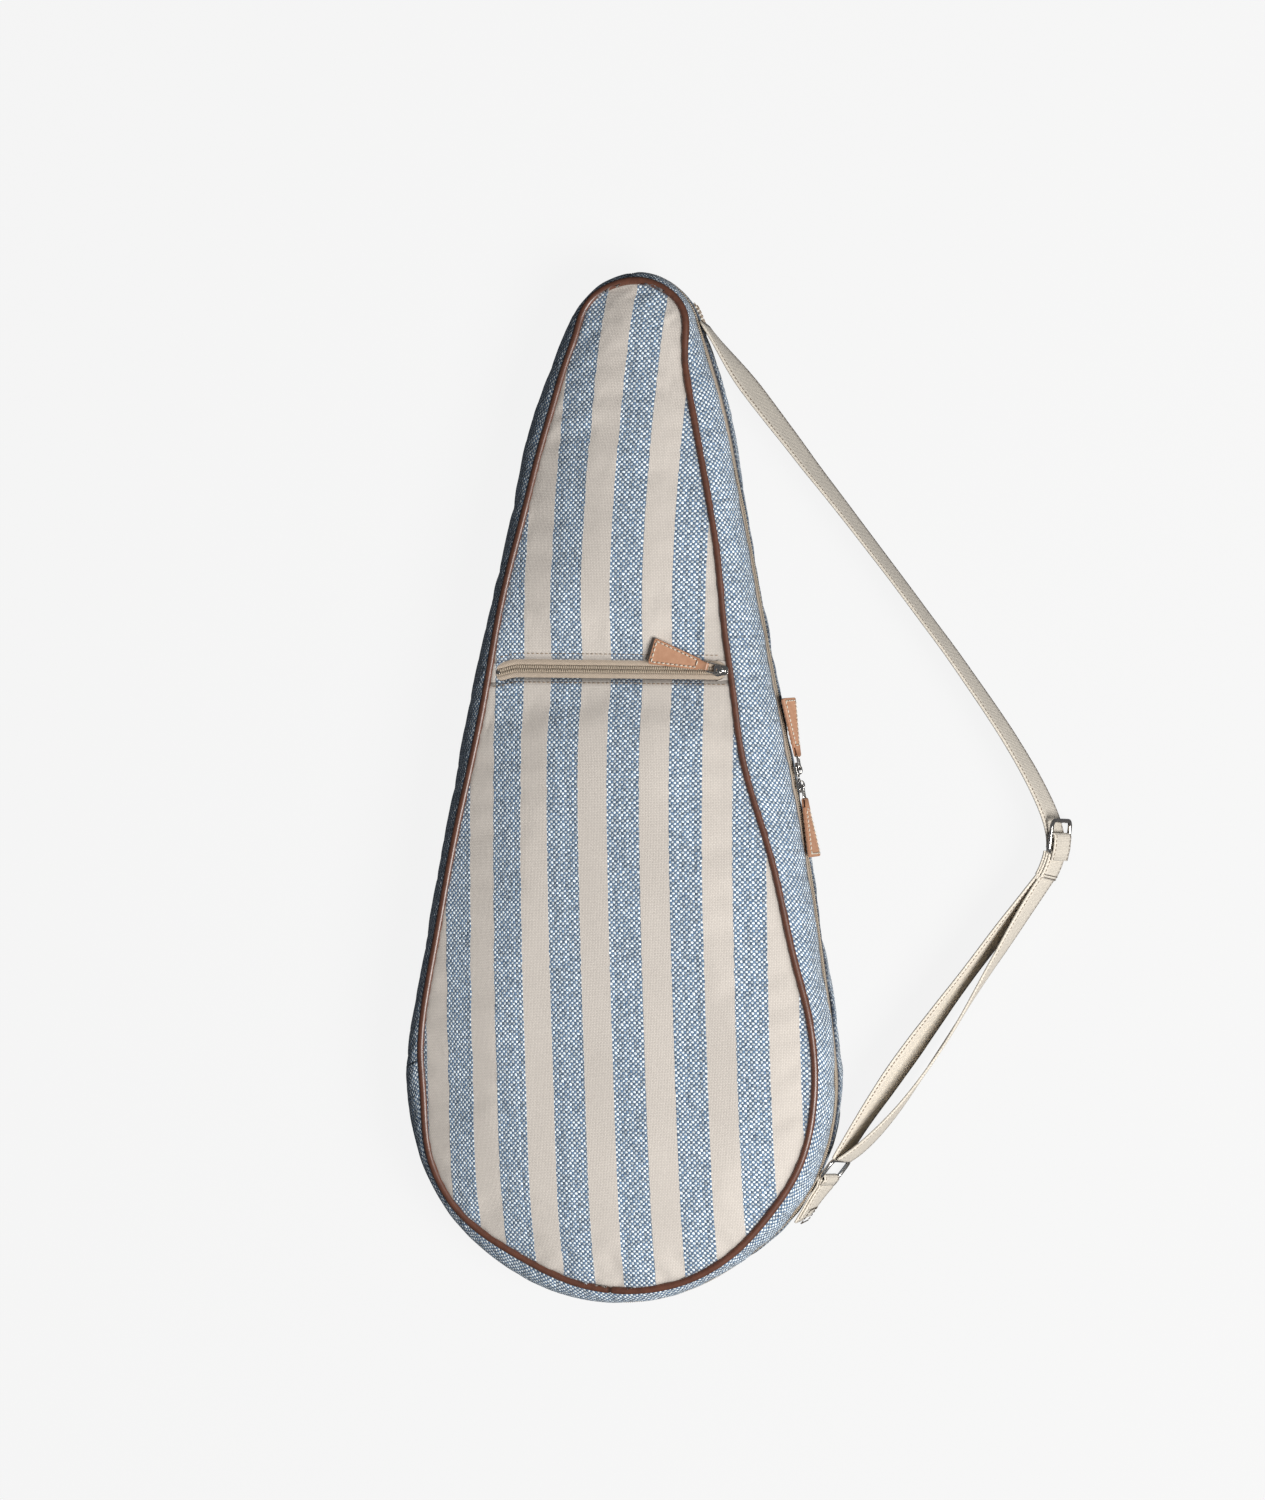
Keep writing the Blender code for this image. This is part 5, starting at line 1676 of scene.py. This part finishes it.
def sewn_fold():
    """The stitched end below the buckle, three layers of webbing thick."""
    into = direction(BUCKLE_HEADING)
    buckle = np.array(BUCKLE_AT)
    start = buckle + into * (BUCKLE_LENGTH * 0.40)
    _, heading, _ = strap_points()
    end = np.array(LOOP_TOP) + heading * 0.004
    path, headings = bezier(start, start + into * 0.006, end - heading * 0.006, end, 22)
    parts = []
    share = np.linspace(0, 1, len(path))
    lean = radians(12) - radians(1) * share
    for shift in (-0.0019, 0.0, 0.0019):
        cut = len(path) if shift == 0 else len(path) - 3
        points, faces, uv, _, _, _ = ribbon(
            path[:cut], headings[:cut], lean[:cut], WEBBING_WIDTH,
            WEBBING_THICKNESS, shift, seed=47 + int(shift * 1000)
        )
        parts.append((points, faces, uv))
    points, faces, uv = gather(parts)
    piece = new_piece("buckle_sewn_fold", points, faces, uv)
    dress(piece, cotton_webbing(), "strap", "cotton_webbing", "strap_fold")
    rows = []
    _, _, _, centre, stand, face = ribbon(path, headings, lean, WEBBING_WIDTH, WEBBING_THICKNESS)
    for at in (4, 16, 18):
        for facing in (-1, 1):
            across = stand[at] * np.linspace(-0.0135, 0.0135, 16)[:, None]
            line = centre[at] + across + face[at] * facing * 0.0030
            rows.append(stitches(line, face[at] * facing, 0.0019, 0.0009, 0.0007))
    points, faces, uv = gather(rows)
    sewn = new_piece("buckle_fold_stitches", points, faces, uv)
    dress(sewn, thread("Dark thread", bpy.context.scene.cover_strap.dark_thread), "strap", "cotton_webbing")
    return piece, sewn


def lower_straps():
    _, heading, ring = strap_points()
    fold_end = np.array(LOOP_TOP)
    sideways = np.array([-heading[1], heading[0]])
    ring_top = ring - heading * (STRAP_RING_LENGTH / 2 - 0.0010)
    made = []
    for sign, word, bow in ((-1, "inner", 0.006), (1, "outer", 0.022)):
        offset = (WEBBING_THICKNESS / 2 + GAP) * sign
        a = fold_end + heading * 0.0006 + sideways * offset
        d = ring_top + sideways * offset * 1.15
        reach = np.linalg.norm(d - a)
        chord = (d - a) / reach
        normal = np.array([-chord[1], chord[0]])
        b = a + chord * reach * 0.35 + normal * (0.003 if sign > 0 else -0.004)
        c = a + chord * reach * 0.78 + normal * (bow if sign > 0 else -bow)
        path, headings = bezier(a, b, c, d, 80)
        share = np.linspace(0, 1, len(path))
        hump = np.sin(share * pi) ** 2
        low = smooth((share - 0.25) / 0.5)
        lean = radians(11) - radians(2) * share + (
            radians(13) * hump * low if sign < 0 else -radians(17) * hump
        )
        piece, centre = webbing_piece(
            "strap_lower_webbing_" + word, path, headings, lean, WEBBING_THICKNESS, "strap",
            "strap_lower_" + word, seed=51 + sign,
        )
        length = float(np.linalg.norm(np.diff(centre, axis=0), axis=1).sum())
        made.append((piece, centre + (0, BASE_Y, 0), length))
    return made


def ring_piece():
    _, heading, ring = strap_points()
    heading3 = np.array([*heading, 0.0])
    side = np.array([-heading[1], heading[0], 0.0])
    lean = radians(10)
    stand = UP * cos(lean) - side * sin(lean)
    width = WEBBING_WIDTH + 2 * STRAP_WIRE + 0.0015
    centre = np.array([*ring, WEBBING_MIDDLE])
    piece = new_piece(
        "strap_ring_wire",
        *wire_ring(centre, heading3, stand, STRAP_RING_LENGTH, width, STRAP_WIRE, 0.0045, 14)
    )
    dress(piece, nickel(), "strap", "nickel", "strap_ring")
    return piece


def tab_piece():
    """The tab that holds the ring: webbing folded round its far bar and sewn to the gusset."""
    _, heading, ring = strap_points()
    bar = ring + heading * (STRAP_RING_LENGTH / 2 - STRAP_WIRE / 2)
    radius = HEAD_RADIUS + 2 * GAP + WEBBING_THICKNESS * 1.1
    first = atan2(bar[1], bar[0]) - radians(2.5)
    turns = np.linspace(first, radians(-36), 22)
    lift = 0.0022 * np.exp(-np.linspace(0, 1, 22) / 0.25)
    sewn_path = [direction(t) * (radius + 0.0008 + k) for t, k in zip(turns, lift)]
    parts = []
    for shift, start, seed in ((0.00095, 0, 61), (-0.00085, 0, 62)):
        path = np.array([bar + heading * 0.0004, *sewn_path[start:]])
        headings = np.gradient(path, axis=0)
        headings /= np.linalg.norm(headings, axis=1)[:, None]
        lean = np.linspace(radians(8), 0.0, len(path))
        cut = len(path) - (3 if shift < 0 else 0)
        points, faces, uv, _, _, _ = ribbon(
            path[:cut], headings[:cut], lean[:cut], WEBBING_WIDTH, WEBBING_THICKNESS * 0.85, shift, seed=seed
        )
        parts.append((points, faces, uv))
    wrap = np.array([(-cos(t) * 0.0026, sin(t) * 0.0026) for t in np.linspace(-0.5 * pi, 0.5 * pi, 9)])
    wrap = np.array([(0.0045, -0.0024), *wrap, (0.0045, 0.0024)])
    heading3 = np.array([*heading, 0.0])
    side = np.array([-heading[1], heading[0], 0.0])
    stand = UP * cos(radians(8)) - side * sin(radians(8))
    face = np.cross(heading3, stand)
    profile = []
    for layer in (0.00055, -0.00055):
        normal = np.gradient(wrap, axis=0)
        normal = np.stack([normal[:, 1], -normal[:, 0]], axis=1)
        normal /= np.linalg.norm(normal, axis=1)[:, None]
        profile.append(wrap + normal * layer)
    closed = np.concatenate([profile[0], profile[1][::-1]])
    across = np.linspace(-1, 1, 8) * WEBBING_WIDTH / 2
    centre = np.array([*bar, WEBBING_MIDDLE])
    grid = centre + closed[None, :, :1] * heading3 + across[:, None, None] * stand
    grid = grid + closed[None, :, 1:] * face
    uv = np.stack(np.broadcast_arrays(across[:, None], closed[None, :, 0]), axis=2)
    faces = [tuple(reversed(f)) for f in grid_faces(len(across), len(closed), False, True)]
    faces += [
        tuple(range(len(closed))),
        tuple((len(across) - 1) * len(closed) + k for k in reversed(range(len(closed))))
    ]
    parts.append((grid.reshape(-1, 3), faces, uv.reshape(-1, 2)))
    points, faces, uv = gather(parts)
    piece = new_piece("ring_tab_webbing", points, faces, uv)
    dress(piece, cotton_webbing(), None, "cotton_webbing", "ring_tab")
    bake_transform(piece)
    rows = []
    for k in (12, 20):
        out = np.array([*direction(turns[k]), 0.0])
        line = np.array([*sewn_path[k], WEBBING_MIDDLE]) + out * 0.0020 + UP * np.linspace(
            -0.0135, 0.0135, 16
        )[:, None]
        rows.append(stitches(line, out, 0.0019, 0.0009, 0.0007))
    for height in (-0.0125, 0.0125):
        line = [
            np.array([*sewn_path[k], WEBBING_MIDDLE + height]) + np.array(
                [*direction(turns[k]), 0.0]
            ) * 0.0020
            for k in range(12, 21)
        ]
        rows.append(stitches(line, np.array([*direction(turns[16]), 0.0]), 0.0019, 0.0009, 0.0007))
    points, faces, uv = gather(rows)
    sewn = new_piece("ring_tab_stitches", points, faces, uv)
    dress(sewn, thread("Dark thread", bpy.context.scene.cover_strap.dark_thread), "shell", "cotton_webbing")


def anchor_piece():
    """The strap's upper end, folded under and box-stitched to the gusset beside the grip end."""
    last = HEAD_STEPS + FLANK_STEPS
    rows = np.arange(last - 1, last + 8)
    climbs = np.sin(np.linspace(np.arcsin(-0.97), np.arcsin(-0.30), 14))
    soft = np.broadcast_to(0.0014, (len(rows), 14))
    points = wall(rows, climbs[None], 0.0, soft)
    run = RUN[rows]
    reach = np.concatenate([[0], np.cumsum(np.linalg.norm(np.diff(points[3], axis=0), axis=1))])
    uv = np.stack(np.broadcast_arrays((reach - reach[-1] / 2)[None], run[:, None]), axis=2)
    piece = sheet_piece(
        "strap_anchor_webbing", points[:, ::-1], uv[:, ::-1], {"shade_and_dirt": np.zeros((len(rows), 14))}, 0.0014
    )
    keep_modifiers(piece)
    dress(piece, cotton_webbing(), "shell", "cotton_webbing", "strap_anchor")
    out = np.array([*BELLY_OUT[last + 4], 0.0])
    corners = [(1, 1), (1, 12), (7, 12), (7, 1), (1, 1), (7, 12)]
    rows_made = []
    lifted = points + out * 0.0002
    for (a, b), (c, d) in zip(corners[:-1], corners[1:]):
        steps = 12
        line = [
            lifted[int(round(a + (c - a) * t)), int(round(b + (d - b) * t))] for t in np.linspace(0, 1, steps)
        ]
        rows_made.append(stitches(line, out, 0.0019, 0.0009, 0.0007))
    points, faces, uv = gather(rows_made)
    sewn = new_piece("strap_anchor_stitches", points, faces, uv)
    dress(
        sewn, thread("Tan thread", bpy.context.scene.cover_zips.topstitch_colour), "shell", "cotton_webbing"
    )


# Stage


def floor_material():
    """Pale floor that stays near white to the eye and gives back a little soft grey light."""
    made = bpy.data.materials.new("Pale floor")
    made.use_nodes = True
    tree = made.node_tree
    tree.nodes.clear()
    size = bpy.context.scene.cover_stage
    path = add_node(tree, "ShaderNodeLightPath")
    place = add_node(tree, "ShaderNodeTexCoord").outputs["Object"]
    grain = soft_noise(tree, place, 3.0, 2.0)
    tone = calc(tree, "MULTIPLY_ADD", calc(tree, "SUBTRACT", grain, 0.5), 0.006, 0.5)
    plain = blend_colour(tree, tone, (0.80, 0.80, 0.80, 1), (0.86, 0.86, 0.86, 1))
    soft = add_node(tree, "ShaderNodeBsdfDiffuse", {"Color": plain})
    lit = add_node(tree, "ShaderNodeEmission", {"Color": (1, 1, 1, 1), "Strength": size.floor_glow})
    seen = add_node(
        tree, "ShaderNodeMixShader", {0: size.floor_shadow, 1: lit.outputs[0], 2: soft.outputs[0]}
    )
    dim = add_node(tree, "ShaderNodeBsdfDiffuse", {"Color": (0.10, 0.10, 0.105, 1)})
    both = add_node(
        tree, "ShaderNodeMixShader", {0: path.outputs["Is Camera Ray"], 1: dim.outputs[0], 2: seen.outputs[0]}
    )
    end = add_node(tree, "ShaderNodeOutputMaterial")
    tree.links.new(both.outputs[0], end.inputs[0])
    return made


def area_light(name, place, target, size, power, colour):
    data = bpy.data.lights.new(name, "AREA")
    data.shape = "RECTANGLE"
    data.size, data.size_y = size
    data.energy = power
    data.color = colour
    lamp = bpy.data.objects.new(name, data)
    lamp.location = place
    lamp.rotation_euler = (Vector(target) - Vector(place)).to_track_quat("-Z", "Y").to_euler()
    bpy.context.scene.collection.objects.link(lamp)
    return lamp


# Settings that a user would change


class CoverCanvas(bpy.types.PropertyGroup):
    stripe_pitch: FloatProperty(
        name="Stripe pitch", description="From one blue stripe to the next", default=0.0445,
        min=0.005, unit="LENGTH", subtype="DISTANCE",
    )
    stripe_centre: FloatProperty(
        name="Stripe centre", description="Middle of the blue stripe nearest the centre line", default=0.0139,
        unit="LENGTH", subtype="DISTANCE",
    )
    blue_width: FloatProperty(
        name="Blue stripe width", description="Width of a blue stripe", default=0.0233, min=0.001,
        unit="LENGTH", subtype="DISTANCE",
    )
    thread_pitch: FloatProperty(
        name="Thread pitch", description="Width of one thread of the blue basket weave", default=0.0018,
        min=0.0002, unit="LENGTH", subtype="DISTANCE",
    )
    blue_yarn: FloatVectorProperty(
        name="Blue yarn", description="Colour of the blue threads", default=(0.120, 0.205, 0.335),
        min=0, max=1, subtype="COLOR",
    )
    white_yarn: FloatVectorProperty(
        name="White yarn", description="Colour of the light threads in the blue weave",
        default=(0.86, 0.95, 1.0),
        min=0, max=1, subtype="COLOR",
    )
    cream_yarn: FloatVectorProperty(
        name="Cream yarn", description="Colour of the cream stripes", default=(0.69, 0.635, 0.575),
        min=0, max=1, subtype="COLOR",
    )
    pale_yarn: FloatVectorProperty(
        name="Pale yarn", description="Crossing thread of the cream stripes", default=(0.75, 0.69, 0.63),
        min=0, max=1, subtype="COLOR",
    )


class CoverLeather(bpy.types.PropertyGroup):
    puller_colour: FloatVectorProperty(
        name="Puller", description="Colour of the pullers' hide", default=(0.63, 0.355, 0.225),
        min=0, max=1, subtype="COLOR",
    )
    puller_depth: FloatVectorProperty(
        name="Puller rims", description="Colour of the hide's pores and cut rims", default=(0.42, 0.19, 0.10),
        min=0, max=1, subtype="COLOR",
    )
    piping_colour: FloatVectorProperty(
        name="Piping", description="Colour of the piping", default=(0.150, 0.057, 0.034),
        min=0, max=1, subtype="COLOR",
    )
    piping_depth: FloatVectorProperty(
        name="Piping depth", description="Colour of the piping's pores and folds",
        default=(0.035, 0.014, 0.009),
        min=0, max=1, subtype="COLOR",
    )
    thread_colour: FloatVectorProperty(
        name="Thread", description="Colour of the pullers' stitches", default=(0.85, 0.78, 0.66),
        min=0, max=1, subtype="COLOR",
    )


class CoverZips(bpy.types.PropertyGroup):
    tooth_pitch: FloatProperty(
        name="Tooth pitch", description="From one zip tooth to the next", default=0.0016, min=0.0008,
        unit="LENGTH", subtype="DISTANCE",
    )
    tape_colour: FloatVectorProperty(
        name="Tape", description="Colour of the zip tapes",
        default=(0.66, 0.545, 0.43), min=0, max=1, subtype="COLOR"
    )
    coil_colour: FloatVectorProperty(
        name="Teeth", description="Colour of the zip teeth",
        default=(0.62, 0.52, 0.40), min=0, max=1, subtype="COLOR"
    )
    metal_colour: FloatVectorProperty(
        name="Metal", description="Colour of the nickel plate", default=(0.82, 0.80, 0.77),
        min=0, max=1, subtype="COLOR",
    )
    topstitch_colour: FloatVectorProperty(
        name="Topstitching", description="Colour of the thread round the pocket zip",
        default=(0.42, 0.30, 0.20),
        min=0, max=1, subtype="COLOR",
    )


class CoverStrap(bpy.types.PropertyGroup):
    webbing_colour: FloatVectorProperty(
        name="Webbing", description="Colour of the cotton webbing", default=(0.88, 0.81, 0.70),
        min=0, max=1, subtype="COLOR",
    )
    stitch_colour: FloatVectorProperty(
        name="Edge stitches", description="Colour of the stitches along the webbing",
        default=(0.24, 0.18, 0.13),
        min=0, max=1, subtype="COLOR",
    )
    dark_thread: FloatVectorProperty(
        name="Bar stitches", description="Colour of the heavy stitches at the buckle and tab",
        default=(0.10, 0.075, 0.055), min=0, max=1, subtype="COLOR",
    )
    edge_stitch: FloatProperty(
        name="Stitch inset", description="From the webbing's edge to its stitches", default=0.0022,
        min=0.0005, unit="LENGTH", subtype="DISTANCE",
    )
    stitch_pitch: FloatProperty(
        name="Stitch pitch", description="From one edge stitch to the next", default=0.0031, min=0.001,
        unit="LENGTH", subtype="DISTANCE",
    )


class CoverStage(bpy.types.PropertyGroup):
    distance: FloatProperty(
        name="Camera distance", description="From the camera to the cover", default=3.0, min=0.5,
        unit="LENGTH", subtype="DISTANCE",
    )
    tilt: FloatProperty(
        name="Camera tilt", description="How far the camera leans from overhead towards the strap",
        default=radians(14), subtype="ANGLE",
    )
    roll: FloatProperty(
        name="Camera roll", description="How far the grip end leans in the view", default=radians(0.94),
        subtype="ANGLE",
    )
    lens: FloatProperty(name="Lens", description="Focal length in millimetres", default=100.4, min=10)
    key_power: FloatProperty(
        name="Key light", description="Power of the main light in watts", default=150, min=0
    )
    fill: FloatProperty(name="Fill", description="Strength of the light from all round", default=0.10, min=0)
    floor_glow: FloatProperty(name="Floor glow", description="Brightness of the floor", default=0.93, min=0)
    floor_shadow: FloatProperty(
        name="Floor shadow", description="Share of shadow that the floor shows", default=0.05, min=0, max=1
    )


# One operator for each piece or group of like pieces


class COVER_OT_front(bpy.types.Operator):
    """Make the striped front in its two panels, above and below the pocket zip"""

    bl_idname = "racket_cover.front"
    bl_label = "Striped front"

    def execute(self, context):
        edge = inner_edge(FRONT_EDGE, PIPING_RADIUS * 0.55)
        bottom, top = float(edge[:, 1].min()) + 0.0004, float(edge[:, 1].max()) - 0.0004
        front_canvas_piece(
            "front_canvas_lower", bottom, POCKET_ZIP_Y - POCKET_HALF_OPENING, 116, "low", "front_panel_lower"
        )
        front_canvas_piece(
            "front_canvas_upper", POCKET_ZIP_Y + POCKET_HALF_OPENING, top, 78, "high", "front_panel_upper"
        )
        slot_end_canvas()
        return {"FINISHED"}


class COVER_OT_back(bpy.types.Operator):
    """Make the striped back, which the cover lies on"""

    bl_idname = "racket_cover.back"
    bl_label = "Striped back"

    def execute(self, context):
        back_canvas_piece()
        return {"FINISHED"}


class COVER_OT_gusset(bpy.types.Operator):
    """Make the gusset: two zipped lengths, and the full-height length that bends at the left flank"""

    bl_idname = "racket_cover.gusset"
    bl_label = "Gusset"

    def execute(self, context):
        zipped = np.arange(ZIP_FIRST, ZIP_LAST + 1)
        gusset_piece("gusset_canvas_front", zipped, ZIP_HALF_OPENING, True, "cover", "gusset_front")
        gusset_piece("gusset_canvas_back", zipped, ZIP_HALF_OPENING, False, "shell", "gusset_back")
        flank = np.arange(ZIP_LAST - 1, COUNT + ZIP_FIRST + 2)
        piece = gusset_piece("gusset_canvas_flank", flank, None, True, None)
        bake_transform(piece)
        return {"FINISHED"}


class COVER_OT_piping(bpy.types.Operator):
    """Make the leather piping round the front and the back"""

    bl_idname = "racket_cover.piping"
    bl_label = "Piping"

    def execute(self, context):
        piping_piece(
            "front_leather_piping", FRONT_EDGE,
            edge_height(FRONT_EDGE[:, 1]) - PIPING_RADIUS, "cover", "front_piping"
        )
        piping_piece(
            "back_leather_piping", BACK_EDGE, np.full(COUNT, PIPING_RADIUS + 0.0002), "shell", "back_piping"
        )
        return {"FINISHED"}


class COVER_OT_linings(bpy.types.Operator):
    """Make the linings and the pocket's bag"""

    bl_idname = "racket_cover.linings"
    bl_label = "Linings and pocket"

    def execute(self, context):
        lining_piece(
            "front_lining_cloth", FRONT_EDGE, 0.004, lambda y: edge_height(y) - 0.0124, False, "cover",
            "front_lining",
        )
        lining_piece(
            "back_lining_cloth", BACK_EDGE, 0.004, lambda y: 0.0034 + 0.0 * y, False, "shell", "back_lining",
        )
        pouch_piece()
        return {"FINISHED"}


class COVER_OT_main_zip(bpy.types.Operator):
    """Make the main zip's tapes, teeth and stops, round the middle of the gusset"""

    bl_idname = "racket_cover.main_zip"
    bl_label = "Main zip"

    def execute(self, context):
        main_zip_half(1, "front", "cover")
        main_zip_half(-1, "back", "shell")
        return {"FINISHED"}


class COVER_OT_pocket_zip(bpy.types.Operator):
    """Make the pocket zip's tape, teeth, stops and topstitching"""

    bl_idname = "racket_cover.pocket_zip"
    bl_label = "Pocket zip"

    def execute(self, context):
        pocket_zip_piece()
        return {"FINISHED"}


class COVER_OT_pulls(bpy.types.Operator):
    """Make the three sliders with their rings and stitched leather pullers"""

    bl_idname = "racket_cover.pulls"
    bl_label = "Sliders and pullers"

    def execute(self, context):
        for sign, word in ((1, "upper"), (-1, "lower")):
            place = main_slider_place(sign)
            slider_piece("main_slider_" + word, place, "slider_" + word, "main_zip_slider_" + word)
            pull_pieces(
                "main_" + word, place, 0.0, -radians(16 if sign > 0 else 11), radians(0.5), "pull_" + word,
                "main_zip_" + word + "_ring", "main_zip_" + word + "_puller",
            )
        place = pocket_slider_place()
        slider_piece("pocket_slider_body", place, "pocket_slider", "pocket_zip_slider")
        pull_pieces(
            "pocket", place, POCKET_PULLER_TILT, 0.0, radians(2),
            "pocket_pull", "pocket_zip_ring", "pocket_zip_puller"
        )
        return {"FINISHED"}


class COVER_OT_strap(bpy.types.Operator):
    """Make the shoulder strap: webbing, buckle, sewn fold, ring, tab and anchor"""

    bl_idname = "racket_cover.strap"
    bl_label = "Shoulder strap"

    def execute(self, context):
        upper, _, upper_length = upper_strap()
        frame_ring, bar, loop = buckle_pieces()
        fold, sewn = sewn_fold()
        lower = lower_straps()
        ring_piece()
        tab_piece()
        anchor_piece()
        return {"FINISHED"}


class COVER_OT_stage(bpy.types.Operator):
    """Set the pale floor, the soft lights and the camera"""

    bl_idname = "racket_cover.stage"
    bl_label = "Stage"

    def execute(self, context):
        scene = context.scene
        size = scene.cover_stage
        mesh = bpy.data.meshes.new("floor")
        mesh.from_pydata([(-6, -6, 0), (6, -6, 0), (6, 6, 0), (-6, 6, 0)], [], [(0, 1, 2, 3)])
        floor = bpy.data.objects.new("floor", mesh)
        floor.location.z = -0.0002
        scene.collection.objects.link(floor)
        mesh.materials.append(floor_material())
        area_light("key", (2.28, -0.92, 2.48), (0, 0, 0.03), (1.5, 1.5), size.key_power, (1.0, 0.985, 0.965))
        world = bpy.data.worlds.new("studio")
        world.use_nodes = True
        tree = world.node_tree
        shade = tree.nodes["Background"]
        shade.inputs[0].default_value = (0.93, 0.96, 1.0, 1)
        shade.inputs[1].default_value = size.fill
        wall_seen = add_node(
            tree, "ShaderNodeBackground", {"Color": (1, 1, 1, 1), "Strength": size.floor_glow}
        )
        path = add_node(tree, "ShaderNodeLightPath")
        both = add_node(
            tree, "ShaderNodeMixShader",
            {0: path.outputs["Is Camera Ray"], 1: shade.outputs[0], 2: wall_seen.outputs[0]}
        )
        tree.links.new(both.outputs[0], tree.nodes["World Output"].inputs["Surface"])
        scene.world = world
        scene.view_settings.view_transform = "Standard"
        data = bpy.data.cameras.new("camera")
        camera = bpy.data.objects.new("camera", data)
        scene.collection.objects.link(camera)
        back = Vector((sin(size.tilt), 0.0, cos(size.tilt)))
        aim = Vector((0.004, 0.027, 0.035))
        right = Vector((0, 1, 0)).cross(back)
        up = Vector((0, 1, 0)) * cos(size.roll) - right * sin(size.roll)
        right = up.cross(back)
        camera.location = aim + back * size.distance
        turn = Matrix((right, up, back)).transposed()
        camera.rotation_euler = turn.to_euler()
        data.lens = size.lens
        data.sensor_width = 36.0
        data.clip_start, data.clip_end = 0.05, 50.0
        scene.camera = camera
        return {"FINISHED"}


class COVER_PT_panel(bpy.types.Panel):
    """The racket cover's settings and the buttons that make its pieces"""

    bl_idname = "COVER_PT_panel"
    bl_label = "Racket cover"
    bl_space_type = "VIEW_3D"
    bl_region_type = "UI"
    bl_category = "Racket cover"

    def draw(self, context):
        layout = self.layout
        for operator in OPERATORS:
            layout.operator(operator.bl_idname)
        for name, group in GROUPS:
            box = layout.box()
            box.label(text=name.replace("cover_", "").capitalize())
            for key in group.__annotations__:
                box.prop(getattr(context.scene, name), key)


GROUPS = (
    ("cover_canvas", CoverCanvas),
    ("cover_leather", CoverLeather),
    ("cover_zips", CoverZips),
    ("cover_strap", CoverStrap),
    ("cover_stage", CoverStage),
)
OPERATORS = (
    COVER_OT_front,
    COVER_OT_back,
    COVER_OT_gusset,
    COVER_OT_piping,
    COVER_OT_linings,
    COVER_OT_main_zip,
    COVER_OT_pocket_zip,
    COVER_OT_pulls,
    COVER_OT_strap,
    COVER_OT_stage,
)


def register():
    for name, group in GROUPS:
        bpy.utils.register_class(group)
        setattr(bpy.types.Scene, name, PointerProperty(type=group))
    for made in (*OPERATORS, COVER_PT_panel):
        bpy.utils.register_class(made)


def unregister():
    for made in (COVER_PT_panel, *reversed(OPERATORS)):
        bpy.utils.unregister_class(made)
    for name, group in reversed(GROUPS):
        delattr(bpy.types.Scene, name)
        bpy.utils.unregister_class(group)


def main():
    register()
    make = bpy.ops.racket_cover
    make.front()
    make.back()
    make.gusset()
    make.piping()
    make.linings()
    make.main_zip()
    make.pocket_zip()
    make.pulls()
    make.strap()
    make.stage()
    bpy.context.view_layer.update()


if __name__ == "__main__":
    main()
